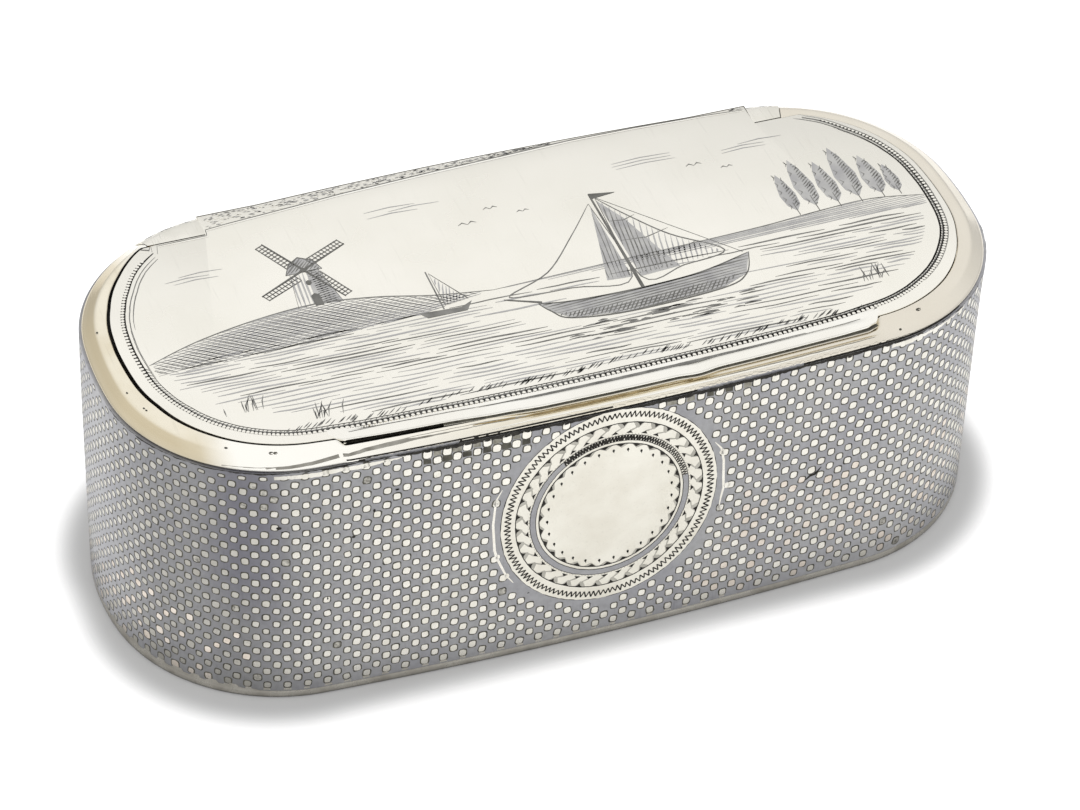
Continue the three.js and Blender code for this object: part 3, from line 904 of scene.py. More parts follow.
# %% The lip's sections
LIP_FLAT = ((3.65, 28.2), (3.65, 28.78), (3.4, 28.81), (3.15, 28.82), (2.95, 28.82),
            (2.75, 28.82), (2.6, 28.82), (2.45, 28.82), (2.25, 28.82), (2.05, 28.82),
            (1.85, 28.82), (1.68, 28.81), (1.55, 28.78), (1.5, 28.7), (1.5, 28.5), (1.5, 28.3),
            (1.52, 28.2))
LIP_ROLLED = ((3.65, 28.2), (3.65, 28.78), (3.42, 28.79), (3.22, 28.74), (3.05, 28.68),
              (2.86, 28.65), (2.68, 28.7), (2.52, 28.84), (2.32, 28.96), (2.1, 29.0),
              (1.86, 28.98), (1.66, 28.9), (1.5, 28.78), (1.42, 28.66), (1.4, 28.5), (1.44, 28.3),
              (1.5, 28.2))
LIP_FADE = 5.0
PUSH_FROM = 3.65
PUSH_FULL = 2.2
LIP_PUSH = ((-25.8, 1.3), (-25.3, 0.7), (-24.6, 0.45), (-22.0, 0.47), (-15.5, 0.46), (-10.0, 0.24),
            (-6.0, 0.04), (0.6, 0.0), (6.4, 0.0), (8.6, -0.2), (11.2, 0.04), (20.8, 0.08),
            (25.6, 0.05), (26.6, 0.3), (27.6, 1.3))


def lip_push(length):
    for (low, first), (high, second) in zip(LIP_PUSH, LIP_PUSH[1:]):
        if length <= high:
            return first + (second - first) * smooth(low, high, length)
    return LIP_PUSH[-1][1]


def lip_section(length):
    rolled = smooth(LIP_LEFT, LIP_LEFT + LIP_FADE, length)
    rolled *= 1 - smooth(LIP_RIGHT - LIP_FADE, LIP_RIGHT, length)
    points = blended(LIP_FLAT, LIP_ROLLED, rolled)
    push = lip_push(length)
    return [(inset + push * smooth(PUSH_FROM, PUSH_FULL, inset) if inset < LIP_INNER else inset, z)
            for inset, z in points]


BEAD_SECTION = ((1.47, 28.22), (1.34, 28.2), (1.22, 28.25), (1.17, 28.34), (1.21, 28.43),
                (1.31, 28.47), (1.37, 28.45), (1.47, 28.45))


def bead_section(length):
    push = lip_push(length)
    return [(inset + push, z) for inset, z in BEAD_SECTION]


LIP_ENDS = (LIP_LEFT - 0.9, LIP_RIGHT + 0.8)
BEAD_ENDS = (-15.5, LIP_RIGHT - 0.1)
BEAD_STATIONS = 0.3
BEAD_CREST = 28.455
CREST_SLACK = 0.012
CREST_UP = 0.6
lip = carried("lip_moulding", rim_at, lip_section, *LIP_ENDS, FINE_STEP)
lip.data.materials.append(lip_silver)
bead = carried("lip_bead_wire", rim_at, bead_section, *BEAD_ENDS, BEAD_STATIONS)
bead.data.materials.append(gilt_rim)
bead.data.materials.append(dot_edge_and_painted_shade)
# Painted shade: the bead's top, tucked under the lip's roll, takes the dark finish for the groove
# between them.
for face in bead.data.polygons:
    if face.normal.z > CREST_UP and abs(face.center.z / MM - BEAD_CREST) < CREST_SLACK:
        face.material_index = 1
for piece in (lip, bead):
    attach(piece, "lid")
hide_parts("lip_roll", "thumb_lift")
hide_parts("lip_bead")

# %% [markdown]
# The graver's marks
# An engraver has two moves: a line that swells and tapers, and a small shape
# cut out flat. The same two moves draw all that follows. A mark is a handful
# of corners in the drawing's own two directions, each with a lift, and the
# faces between them. All marks of one group are laid on the box together as
# one thin piece, because thousands of separate marks would be slow to work
# with. No modelling tool lays a drawing on a curved wall, so these meshes
# are made from their corners.

# %% Lines, shapes and how they are laid on
LIFT = 0.012
LAYER = 0.006
TAPER_END = 0.25
TAPER_CURVE = 0.6
dice = random.Random(11)


def line_mark(points, width, lift, closed=False):
    count = len(points)
    corners, faces = [], []
    for i, (u, v) in enumerate(points):
        before = points[i - 1] if i or closed else points[0]
        after = points[(i + 1) % count] if i + 1 < count or closed else points[-1]
        along = math.dist(before, after) or 1.0
        across_u = (before[1] - after[1]) / along
        across_v = (after[0] - before[0]) / along
        half = (width[i] if isinstance(width, list) else width) / 2
        corners.append((u + across_u * half, v + across_v * half, lift))
        corners.append((u - across_u * half, v - across_v * half, lift))
    for i in range(count if closed else count - 1):
        j = (i + 1) % count
        faces.append((2 * i + 1, 2 * j + 1, 2 * j, 2 * i))
    return corners, faces


def shape_mark(points, lift):
    area = sum(a[0] * b[1] - b[0] * a[1] for a, b in zip(points, points[1:] + points[:1]))
    ordered = points if area > 0 else points[::-1]
    return [(u, v, lift) for u, v in ordered], [tuple(range(len(ordered)))]


def tapered(points, width, lift):
    last = len(points) - 1
    widths = []
    for i in range(last + 1):
        swell = math.sin(math.pi * i / last) if 0 < i < last else 0.0
        widths.append(width * (TAPER_END + (1 - TAPER_END) * swell ** TAPER_CURVE))
    return line_mark(points, widths, lift)


def round_spot(u, v, half_u, half_v, lift, corners=8):
    return shape_mark([(u + half_u * math.cos(2 * math.pi * i / corners),
                        v + half_v * math.sin(2 * math.pi * i / corners))
                       for i in range(corners)], lift)

# %% [markdown]
# From drawing to metal
# A group of marks is put through one of the maps above and becomes one mesh,
# with one finish for each kind of mark.

# %% Laying marks on the box
def lay_on(name, place, groups, body):
    corners, faces, finishes = [], [], []
    for index, (metal, marks) in enumerate(groups):
        for own_corners, own_faces in marks:
            start = len(corners)
            corners.extend(place(*corner) for corner in own_corners)
            for face in own_faces:
                faces.append([start + i for i in face])
                finishes.append(index)
    mesh = bpy.data.meshes.new(name)
    mesh.from_pydata(corners, [], faces)
    for metal, _ in groups:
        mesh.materials.append(metal)
    mesh.polygons.foreach_set("material_index", finishes)
    mesh.validate()
    piece = bpy.data.objects.new(name, mesh)
    bpy.context.scene.collection.objects.link(piece)
    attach(piece, body)
    print(name, len(faces), "faces")
    return piece

# %% [markdown]
# The dots
# The dotted ground is set out with dividers: rows 0.84 mm apart, dots 1.84 mm
# apart in a row, a little closer round the ends, and every second row moved
# on by half a step. The engraver cuts round each dot by hand, so no two are
# alike. A dot is a rounded square of silver with a darker sloping edge. The
# cartouche takes the place of some, and next to it the two top rows are
# larger, with dark squares between them.

# %% Setting out the dots
ROW_TOP = 27.02
ROW_STEP = 0.842
ROWS = 31
HALF_STEPS = 60
HALF_STEP = 0.919
EVEN_STEPS = 41.35
CLOSE_STEP = (QUARTER - EVEN_STEPS * HALF_STEP) / (HALF_STEPS - EVEN_STEPS)
DOT_CORNERS = 10
DOT_FOOT_LIFT = 0.003
DOT_WOBBLE = 0.07
DOT_HALF = (0.32, 0.36)
DOT_EDGE = 0.115
SQUARENESS = 0.62
CARTOUCHE = (0.0, 16.25, 11.25, 12.05)
CARTOUCHE_TOP = (0.0, 16.25, 10.6, 11.5)


def column_length(column):
    side, column = (1, column) if column >= 0 else (-1, -column)
    if column > HALF_STEPS:
        return side * (2 * QUARTER - column_length(2 * HALF_STEPS - column))
    if column <= EVEN_STEPS:
        return side * column * HALF_STEP
    return side * (EVEN_STEPS * HALF_STEP + (column - EVEN_STEPS) * CLOSE_STEP)


def in_oval(u, v, oval):
    return math.hypot((u - oval[0]) / oval[2], (v - oval[1]) / oval[3]) < 1

# %% [markdown]
# One dot
# A dot has ten corners at its foot and ten on its face, each a little off.
# Sizes and tarnish change from place to place, as the photograph shows.

# %% One dot, its size and its metal
def dot_mark(u, v, half_u, half_v, turn):
    corners, faces = [], []
    for grow, lift in ((DOT_EDGE, DOT_FOOT_LIFT), (0.0, LIFT)):
        for i in range(DOT_CORNERS):
            angle = 2 * math.pi * (i + 0.5) / DOT_CORNERS
            across, up = math.cos(angle), math.sin(angle)
            across = math.copysign(abs(across) ** SQUARENESS, across)
            up = math.copysign(abs(up) ** SQUARENESS, up)
            wobble = 1 + dice.uniform(-DOT_WOBBLE, DOT_WOBBLE)
            x = (half_u + grow) * across * wobble
            y = (half_v + grow) * up * wobble
            corners.append((u + x * math.cos(turn) - y * math.sin(turn),
                            v + x * math.sin(turn) + y * math.cos(turn), lift))
    for i in range(DOT_CORNERS):
        j = (i + 1) % DOT_CORNERS
        faces.append((i, j, DOT_CORNERS + j, DOT_CORNERS + i))
    top = corners[DOT_CORNERS:]
    return (corners, faces), (top, [tuple(range(DOT_CORNERS))])


SIZE_SPREAD = 0.05
LEFT_GROUP = (-19, -8)
RIGHT_GROUP = (4, 16)
TOP_GROWTH = 1.24
NEXT_GROWTH = 1.12
ROUGH_CORNER_LENGTH = -36
ROUGH_CORNER_ROW = 24
ROUGH_SIZES = (0.85, 1.3)
LEFT_FROM = -24
LEFT_SHRINK = 0.93
ENDS_FROM = 46
ENDS_SHRINK = 0.94
WORN_LENGTHS = (-34.5, -30.5)
WORN_HEIGHTS = (23.5, 26.5)
WORN_SHARE = 0.7
WARM_RIGHT = (8, 14)
WARM_LEFT = (-34, 11)
WARM_SHARE = 0.28
STRAY_SHARE = 0.01


def between(value, span):
    return span[0] < value < span[1]


def dot_size(here, row):
    size = 1.0 + dice.gauss(0, SIZE_SPREAD)
    if row < 1 and between(here, LEFT_GROUP):
        size *= TOP_GROWTH
    elif row < 2 and (between(here, LEFT_GROUP) or between(here, RIGHT_GROUP)):
        size *= NEXT_GROWTH
    if here < ROUGH_CORNER_LENGTH and row > ROUGH_CORNER_ROW:
        size *= dice.uniform(*ROUGH_SIZES)
    if here < LEFT_FROM:
        size *= LEFT_SHRINK
    if abs(here) > ENDS_FROM:
        size *= ENDS_SHRINK
    return size


def dot_metal(here, height):
    worn = between(here, WORN_LENGTHS) and between(height, WORN_HEIGHTS)
    if worn and dice.random() < WORN_SHARE:
        return worn_dot
    warm = here > WARM_RIGHT[0] and height < WARM_RIGHT[1]
    warm = warm or (here < WARM_LEFT[0] and height < WARM_LEFT[1])
    if warm and dice.random() < WARM_SHARE:
        return warm_dot
    return worn_dot if dice.random() < STRAY_SHARE else dot_silver


# A dot with a worn edge: grey and matt
worn_dot = polished("silver_dot_with_worn_edge", "#C4C1B8", "#77756F", 0.42, 0.3, 0.3, 0.2)
# A dot with warm tarnish: a faint rose tone, near the foot
warm_dot = polished("silver_dot_with_warm_tarnish", "#EFE6DB", "#E2D6C9", 0.34, 1.2, 0.3, 0.2)
# Tarnish between the top dots: a flat olive grey
olive_tarnish = dark_line("tarnish_between_the_top_dots", "#A5A297", "#7E7B70", 0.5, 0.5)

# %% [markdown]
# Filling the wall with dots
# Row by row the dots are set down. Where the cartouche will be, none is cut.
# A few dark flecks and one long scratch are damage that the photograph
# shows.

# %% The dots on the wall
PLACE_SPREAD = 0.025
TILT = (-4, 5)
FLAT_TOP_FROM = -30
FLAT_TOP = 0.55
SQUARES_LEFT = (-19, -8.5)
SQUARES_RIGHT = (4, 13)
SQUARE_WIDE = (0.34, 0.46)
SQUARE_TALL = (0.2, 0.36)
SQUARE_LOW = 0.3
SQUARE_HIGH = 0.36
SQUARE_LEAN = 0.9
SQUARE_LIFT = 0.002
PALE_LENGTHS = (-12.5, 8)
PALE_SHARES = (0.5, 0.8)
edges, squares, pale_squares = [], [], []
faces_of = {dot_silver: [], worn_dot: [], warm_dot: []}
for row in range(ROWS):
    for column in range(1 - row % 2 - 2 * HALF_STEPS, 2 * HALF_STEPS, 2):
        here = column_length(column) + dice.gauss(0, PLACE_SPREAD)
        level = ROW_TOP - ROW_STEP * row + dice.gauss(0, PLACE_SPREAD)
        if in_oval(here, level, CARTOUCHE if row > 1 else CARTOUCHE_TOP):
            continue
        size = dot_size(here, row)
        flat = FLAT_TOP if row == 0 and here < FLAT_TOP_FROM else 1.0
        edge, face = dot_mark(here, level, DOT_HALF[0] * size, DOT_HALF[1] * size * flat,
                              math.radians(dice.gauss(*TILT)))
        edges.append(edge)
        faces_of[dot_metal(here, level)].append(face)
        if row < 2 and (between(here, SQUARES_LEFT) or (row == 0 and between(here, SQUARES_RIGHT))):
            middle = here + HALF_STEP
            wide = dice.uniform(*SQUARE_WIDE)
            tall = dice.uniform(*SQUARE_TALL)
            square = shape_mark([(middle - wide, level - tall), (middle + wide, level - SQUARE_LOW),
                                 (middle + wide * SQUARE_LEAN, level + tall),
                                 (middle - wide, level + SQUARE_HIGH)], SQUARE_LIFT)
            pale = dice.random() < PALE_SHARES[between(here, PALE_LENGTHS)]
            (pale_squares if pale else squares).append(square)
FLECK_SIZE = 0.62
FLECKS = ((-30.9, 21.1, 0.42, 0.3), (-20.2, 23.6, 0.34, 0.2), (-22.3, 21.6, 0.2, 0.34),
          (-24.2, 18.9, 0.3, 0.24), (-30.6, 20.6, 0.2, 0.16), (-15.0, 16.2, 0.16, 0.1),
          (-26.6, 12.0, 0.12, 0.3), (-7.6, 7.6, 0.2, 0.1))
flecks = [round_spot(u, v, wide * FLECK_SIZE, tall * FLECK_SIZE, LIFT + LAYER, 6)
          for u, v, wide, tall in FLECKS]
SCRATCHED = (([(19.6, 13.3), (20.1, 13.75), (20.6, 13.8), (21.2, 14.5)], 0.3),
             ([(20.0, 13.9), (20.9, 14.1)], 0.2))
flecks += [tapered(points, width, LIFT + LAYER) for points, width in SCRATCHED]
lay_on("niello_round_the_dots", wall_at, [(dot_edge_and_painted_shade, edges + squares), (deep_black_and_painted_shade, flecks),
                                          (olive_tarnish, pale_squares)], "box")
lay_on("silver_dots", wall_at, list(faces_of.items()), "box")

# %% [markdown]
# The edges of the niello
# Under the rim the niello ends in a ragged black line, thickest along the
# front: partly the niello's own edge, partly painted shadow under the rim.
# In two places the dots run together into a plain silver strip.
# At the foot the silver edge is stepped near the left corner, where the
# cutter stopped short, and elsewhere the last row is cut to flat dashes.

# %% Ragged lines and strips
RAGGED_STEP = 0.22
RIM_EDGE = 27.66
RIM_FOLD = 27.79
DRIFT_KEPT = 0.6
TOP_WILDNESS = 0.3


def ragged(low, high, bottom, top, wild):
    corners, faces = [], []
    stations = steps(low, high, RAGGED_STEP)
    drift = 0.0
    for here in stations:
        drift = DRIFT_KEPT * drift + dice.gauss(0, wild)
        corners.append((here, bottom(here) + drift, LIFT))
        corners.append((here, top(here) + dice.gauss(0, wild * TOP_WILDNESS), LIFT))
    for i in range(len(stations) - 1):
        faces.append((2 * i, 2 * i + 2, 2 * i + 3, 2 * i + 1))
    return corners, faces


def window(here, rise, fall):
    return smooth(*rise, here) * (1 - smooth(*fall, here))


LINE_LOW = 27.64
LINE_SHOWN_DEEP = 0.1
LINE_FRONT_DEEP = 0.26
LINE_FRONT = ((-21, -15), (24, 32))
LINE_SHOWN = ((-53, -48), (46, 52))
RIM_SHADOW_FRONT = ((-16, -13), (24, 27))
RIM_SHADOW_GROWN = ((-23.5, -22), (27, 36))
RIM_SHADOW_WILD = (0.5, 1.3)
RIM_SHADOW_TOP = 27.82
RIM_SHADOW_MORE = 0.1
RIM_SHADOW_MOST = 0.07
FOOT_CORNER = ((-56, -48), (-36, -32))
FOOT_EDGE_HIGH = 1.0
FOOT_EDGE_LOW = 0.86
FOOT_STEP = 0.3
FOOT_STEP_LOW = 0.2
UNDERCUT_POINTS = 6


def line_under_rim(here):
    drop = LINE_SHOWN_DEEP * window(here, *LINE_SHOWN) + LINE_FRONT_DEEP * window(here, *LINE_FRONT)
    return LINE_LOW - drop


def painted_shadow_top(here):
    grown = RIM_SHADOW_MORE * window(here, *RIM_SHADOW_GROWN)
    grown += RIM_SHADOW_MOST * window(here, *RIM_SHADOW_FRONT)
    return RIM_SHADOW_TOP + grown * dice.uniform(*RIM_SHADOW_WILD)


def foot_edge_top(here):
    step = FOOT_STEP if math.floor(here / HALF_STEP) % 2 else 0.0
    return FOOT_EDGE_HIGH + window(here, *FOOT_CORNER) * (FOOT_STEP_LOW + step)


def under_the_rim(length, height, lift):
    profile = rim_section(length)[-UNDERCUT_POINTS:]
    for (first, low), (second, high) in zip(profile[::-1], profile[-2::-1]):
        if low <= height <= high:
            inset = first + (second - first) * (height - low) / (high - low)
            return rim_at(length, inset - lift, height)
    return rim_at(length, -lift, height)

# %% [markdown]
# Where the ragged lines run
# Each line is a strip between two edges that drift a little from station to
# station. The same black goes on up the rim's lower outer edge as painted
# shadow, grey instead of black along two stretches.

# %% The ragged lines on the box
def level_at(height):
    return lambda here: height


# Painted shadow: the ragged black on the wall under the rim, partly the niello's own edge, and the
# black on the rim's lower edge.
dark_edge = [ragged(-50.0, 49.0, line_under_rim, level_at(RIM_EDGE), 0.045)]
rim_painted_shadow = [ragged(-23.8, 36.0, level_at(WALL_HIGH), level_at(RIM_FOLD), 0.0),
            ragged(-23.8, 36.0, level_at(RIM_FOLD), painted_shadow_top, 0.0)]
SEEN_THROUGH = ((-23.2, -14.6), (8.0, 18.5))
BELOW_SHADOW_TOP = 0.07
rim_painted_shadow_grey = []
for low, high in SEEN_THROUGH:
    rim_painted_shadow_grey.append(ragged(low, high, level_at(WALL_HIGH), level_at(RIM_FOLD), 0.0))
    rim_painted_shadow_grey.append(ragged(low, high, level_at(RIM_FOLD),
                             lambda here: painted_shadow_top(here) - BELOW_SHADOW_TOP, 0.0))
for part, faces in rim_painted_shadow_grey:
    part[:] = [(here, height, lift + LAYER) for here, height, lift in part]
DASH_COLUMNS = range(-41, 14, 2)
DASH_LONG = (0.28, 0.4)
DASH_SPREAD = 0.06
DASH_HEIGHTS = (1.1, 1.34)
DASH_TAPER = 0.8
foot_edge = [ragged(-2 * QUARTER, 2 * QUARTER, level_at(FOOT_EDGE_LOW), foot_edge_top, 0.006)]
for column in DASH_COLUMNS:
    here = column_length(column) + dice.gauss(0, DASH_SPREAD)
    long = dice.uniform(*DASH_LONG)
    low, high = DASH_HEIGHTS
    foot_edge.append(shape_mark([(here - long, low), (here + long, low),
                                 (here + long * DASH_TAPER, high),
                                 (here - long * DASH_TAPER, high)], LIFT))
STRIPS = ((-31.2, -19.4, 26.9, 0.35, -24, 27.34, 0.05), (27.3, 36.5, 26.95, 0.3, 30, 27.36, 0.06))
strips = []
for low, high, under, climb, climb_from, over, wild in STRIPS:
    strips.append(ragged(low, high, lambda here: under + climb * smooth(climb_from, high, here),
                         level_at(over), wild))
lay_on("ragged_niello_line_and_painted_shadow", wall_at, [(deep_black_and_painted_shade, dark_edge)], "box")
lay_on("painted_shadow_on_the_rim_edge", under_the_rim, [(deep_black_and_painted_shade, rim_painted_shadow), (niello_ground, rim_painted_shadow_grey)],
       "box")
lay_on("silver_foot_edge", wall_at, [(foot_silver, foot_edge)], "box")
lay_on("silver_strips_by_the_rim", wall_at, [(dot_silver, strips)], "box")

# %% [markdown]
# The cartouche
# The oval on the front was kept for its owner's letters, and it stays plain
# here. Round the field go, from the outside in: a wriggled line made by
# rocking a flat graver, a fine line, a band cut like a twisted ribbon, a row
# of beads, a ring of niello that turns to hatching at the top, a silver
# ring, a fine line with soft notches and a row of drop-shaped punch marks.
# Each ring is an ellipse with its own half width and half height.

# %% The cartouche's rings
OVAL_U = 0.0
OVAL_V = 16.25
EDGE_RING = (10.46, 11.36)
WRIGGLE_RING = (9.84, 10.68)
LINE_RING = (9.08, 9.76)
RIBBON_RING = (7.9, 8.52)
BEAD_RING = (7.8, 8.4)
NIELLO_RING = (7.7, 8.28)
SILVER_RING = (7.16, 7.66)
INNER_RING = (6.84, 7.3)
DROP_RING = (6.05, 6.6)
RING_STEPS = 180
TOP_OF_WALL = 27.6
TEETH = 130
TWISTS = 36
RIBBON_CUT = ((0, 0), (0.6, 0), (0.42, -0.14), (0.3, -0.42), (0.2, -0.14))
RIBBON_BLADE = ((0.62, 0), (1.1, 0), (0.84, 0.3))
RIBBON_SHADE = ((0.1, -0.06), (0.75, -0.06), (0.5, -0.62), (0.32, -0.66))
RIBBON_FOLD = ((0.42, -0.6), (0.84, 0.25))
FOLD_WIDTHS = [0.1, 0.2]
TWIST_SPREAD = 0.08
DROP_CUT = ((0, 0), (0.13, 0), (0.06, -0.34))
DROP_SHADE = ((-0.05, -0.03), (0.14, -0.03), (0.045, -0.48))
DROP_PLACE = 0.7
TOOTH_SPREAD = 0.18
TOOTH_REACH = (-0.3, 0.34)
TOOTH_WIDTH = (0.1, 0.15)
DROPS = 27
BEADS = 150
HATCHED = (math.radians(12), math.radians(128))
# Silver rubbed plain: a soft matt field without the lid's shine
plain_silver = polished("silver_rubbed_plain", "#EFECE1", "#E7E3D7", 0.36, 3.0, 0.3, 0.06)
# Shallow shading cuts: a warm grey that rounds the ribbon
soft_shade = dark_line("soft_shading_in_silver", "#BDBAB0", "#A9A69C", 0.9, 0.4)

# %% [markdown]
# Ring tools
# Every ring is drawn with four tools: a point on an ellipse, a line round it,
# a filled oval and a band between two ellipses.

# %% Ring tools
def ring_point(ring, angle, grow=0.0):
    v = OVAL_V + (ring[1] + grow) * math.sin(angle)
    return OVAL_U + (ring[0] + grow) * math.cos(angle), min(v, TOP_OF_WALL)


def ring_line(ring, width, lift, grow=0.0, wild=0.0):
    points = [ring_point(ring, 2 * math.pi * i / RING_STEPS, grow + dice.gauss(0, wild))
              for i in range(RING_STEPS)]
    return line_mark(points, width, lift, closed=True)


def oval_disc(ring, lift, levels=9, wild=0.0):
    corners, faces = [], []
    for level in range(levels):
        share = 1 - level / levels
        for i in range(RING_STEPS):
            angle = 2 * math.pi * i / RING_STEPS
            grow = dice.gauss(0, wild) if level == 0 else 0.0
            corners.append((*ring_point((ring[0] * share, ring[1] * share), angle, grow), lift))
    for level in range(levels - 1):
        for i in range(RING_STEPS):
            j = (i + 1) % RING_STEPS
            outer, inner = level * RING_STEPS, (level + 1) * RING_STEPS
            faces.append((outer + i, outer + j, inner + j, inner + i))
    faces.append(tuple((levels - 1) * RING_STEPS + i for i in range(RING_STEPS)))
    return corners, faces


def ring_band(outer, inner, lift, low, high):
    corners, faces = [], []
    stations = steps(low, high, 2 * math.pi / RING_STEPS)
    for angle in stations:
        corners.append((*ring_point(inner, angle), lift))
        corners.append((*ring_point(outer, angle), lift))
    for i in range(len(stations) - 1):
        faces.append((2 * i, 2 * i + 1, 2 * i + 3, 2 * i + 2))
    return corners, faces


ground_lift = LIFT + LAYER
shade_lift = ground_lift + LAYER
cut_lift = shade_lift + LAYER
field = [oval_disc(EDGE_RING, ground_lift, wild=0.02)]
dark, shade = [], []
dark.append(ring_line(EDGE_RING, 0.07, LIFT + LAYER / 2, 0.02, 0.012))
wriggle = []
for i in range(TEETH * 2):
    angle = math.pi * (i + dice.uniform(-TOOTH_SPREAD, TOOTH_SPREAD)) / TEETH
    wriggle.append(ring_point(WRIGGLE_RING, angle, TOOTH_REACH[i % 2] + dice.gauss(0, 0.04)))
for p, q in zip(wriggle, wriggle[1:] + wriggle[:1]):
    dark.append(line_mark([p, q], [dice.uniform(*TOOTH_WIDTH) for _ in range(2)], cut_lift))
dark.append(ring_line(LINE_RING, 0.09, cut_lift, 0.0, 0.008))
dark.append(ring_line(INNER_RING, 0.1, cut_lift, 0.0, 0.008))

# %% [markdown]
# The twisted ribbon and the drops
# One turn of the ribbon and one drop are drawn as small cuts, then repeated
# round their rings. Each start is moved a little, as a hand would.

# %% The ribbon and the drops
twist = 2 * math.pi / TWISTS


def along_ring(ring, start, reach, cut):
    return [ring_point(ring, start + reach * turn, grow) for turn, grow in cut]


for i in range(TWISTS):
    start = twist * (i + dice.uniform(-TWIST_SPREAD, TWIST_SPREAD))
    fold = [ring_point(ring, start + twist * turn, grow)
            for ring, (turn, grow) in zip((LINE_RING, RIBBON_RING), RIBBON_FOLD)]
    dark.append(shape_mark(along_ring(LINE_RING, start, twist, RIBBON_CUT), cut_lift))
    dark.append(shape_mark(along_ring(RIBBON_RING, start, twist, RIBBON_BLADE), cut_lift))
    shade.append(shape_mark(along_ring(LINE_RING, start, twist, RIBBON_SHADE), shade_lift))
    shade.append(line_mark(fold, FOLD_WIDTHS, shade_lift))
drop_step = 2 * math.pi / DROPS
for i in range(DROPS):
    start = drop_step * i
    dark.append(shape_mark(along_ring(INNER_RING, start, 1, DROP_CUT), cut_lift))
    shade.append(shape_mark(along_ring(INNER_RING, start, 1, DROP_SHADE), shade_lift))
    u, v = ring_point(DROP_RING, start + drop_step * DROP_PLACE)
    dark.append(round_spot(u, v, 0.12, 0.17, cut_lift))
    dark.append(shape_mark([(u - 0.08, v), (u + 0.08, v), (u + 0.04, v - 0.34)], cut_lift))

# %% [markdown]
# Hatching and beads
# At the top the niello ring breaks up into a zigzag of hatching strokes. The
# rest is solid, with tiny beads outside it.

# %% The hatched ring and the beads
HATCHES = 104
hatched_line, widths = [], []
for i in range(HATCHES):
    share = i / (HATCHES - 1)
    angle = HATCHED[0] + (HATCHED[1] - HATCHED[0]) * share
    ring, grow = (SILVER_RING, 0.02) if i % 2 else (NIELLO_RING, -0.02)
    hatched_line.append(ring_point(ring, angle + dice.gauss(0, 0.004), grow))
    widths.append((0.1 + 0.08 * smooth(0.2, 0.6, share)) * dice.uniform(0.85, 1.15))
for i in range(HATCHES - 1):
    dark.append(line_mark(hatched_line[i:i + 2], widths[i:i + 2], cut_lift))
grey_ring = [ring_band(NIELLO_RING, SILVER_RING, cut_lift, HATCHED[1], HATCHED[0] + 2 * math.pi)]
for i in range(BEADS):
    u, v = ring_point(BEAD_RING, 2 * math.pi * i / BEADS)
    shade.append(round_spot(u, v, 0.055, 0.055, cut_lift, 4))
dark.append(ring_line(NIELLO_RING, 0.06, cut_lift + LAYER, 0.0, 0.012))
dark.append(ring_line(SILVER_RING, 0.06, cut_lift + LAYER, 0.0, 0.01))

# %% [markdown]
# Beside the cartouche
# The dots that touch the oval run together into thin silver slivers. With
# them the cartouche is laid on the wall as two pieces, ground and cuts.

# %% Silver slivers beside the cartouche
SLIVERS = (
    ((-10.42, 21.0), (-11.0, 19.84), (-11.21, 16.95), (-11.0, 13.8), (-10.74, 12.74),
     (-9.82, 10.37), (-9.1, 9.3)),
    ((10.05, 21.0), (10.71, 20.1), (11.05, 18.5), (11.16, 16.2), (11.24, 15.1), (11.05, 14.05),
     (10.9, 12.7)),
)
FUSED_DOTS = ((-10.95, 19.6), (-10.75, 12.9), (-9.8, 10.3), (10.85, 19.6), (11.55, 15.3),
              (11.0, 12.7))
slivers = [tapered(list(points), 0.26, LIFT) for points in SLIVERS]
for u, v in FUSED_DOTS:
    slivers.append(round_spot(u, v, 0.3, 0.34, LIFT, 10))
lay_on("cartouche_ground", wall_at, [(plain_silver, field), (dot_silver, slivers)], "box")
lay_on("cartouche_cuts", wall_at, [(deep_black_and_painted_shade, dark), (soft_shade, shade),
                                   (niello_ground, grey_ring)], "box")

# %% [markdown]
# The lid's border
# A rope border runs round the ends and the front of the picture, where it
# shows best, and fades out at the back. It is a dark line with small silver
# beads left standing along its outer side, and a second fine line inside it.
# Its distance from the rim was judged by eye, so it wanders by half a
# millimetre. A table holds that distance at several lengths.

# %% The rope border
BORDER = ((-73.0, 2.9), (-69.5, 3.21), (-65.6, 3.7), (-62.2, 3.87), (-54.8, 3.9), (-50.6, 4.09),
          (-46.6, 4.3), (-42.6, 4.39), (-38.0, 4.24), (-34.4, 4.08), (-30.9, 3.88), (-27.0, 3.62),
          (-22.6, 3.5), (-16.6, 3.6), (0.0, 3.65), (18.1, 3.66), (24.1, 3.72), (27.7, 4.01),
          (31.8, 4.14), (35.3, 4.2), (39.3, 4.09), (43.0, 3.94), (46.9, 3.65), (50.7, 3.5),
          (54.9, 3.4), (62.0, 3.42), (68.5, 3.3), (72.0, 2.9), (75.4, 2.7))
BEAD_STEP = 0.5
BEAD_OUT = -0.14
LINE_STEP = 0.4


def border_point(length, inward=0.0):
    spot = rim_at(length, table_value(BORDER, length) + inward, 0.0) / MM
    return spot.x, spot.y


def border_line(low, high, inward, width, lift, wild=0.006):
    points = [border_point(s, inward + dice.gauss(0, wild)) for s in steps(low, high, LINE_STEP)]
    return tapered(points, width, lift)


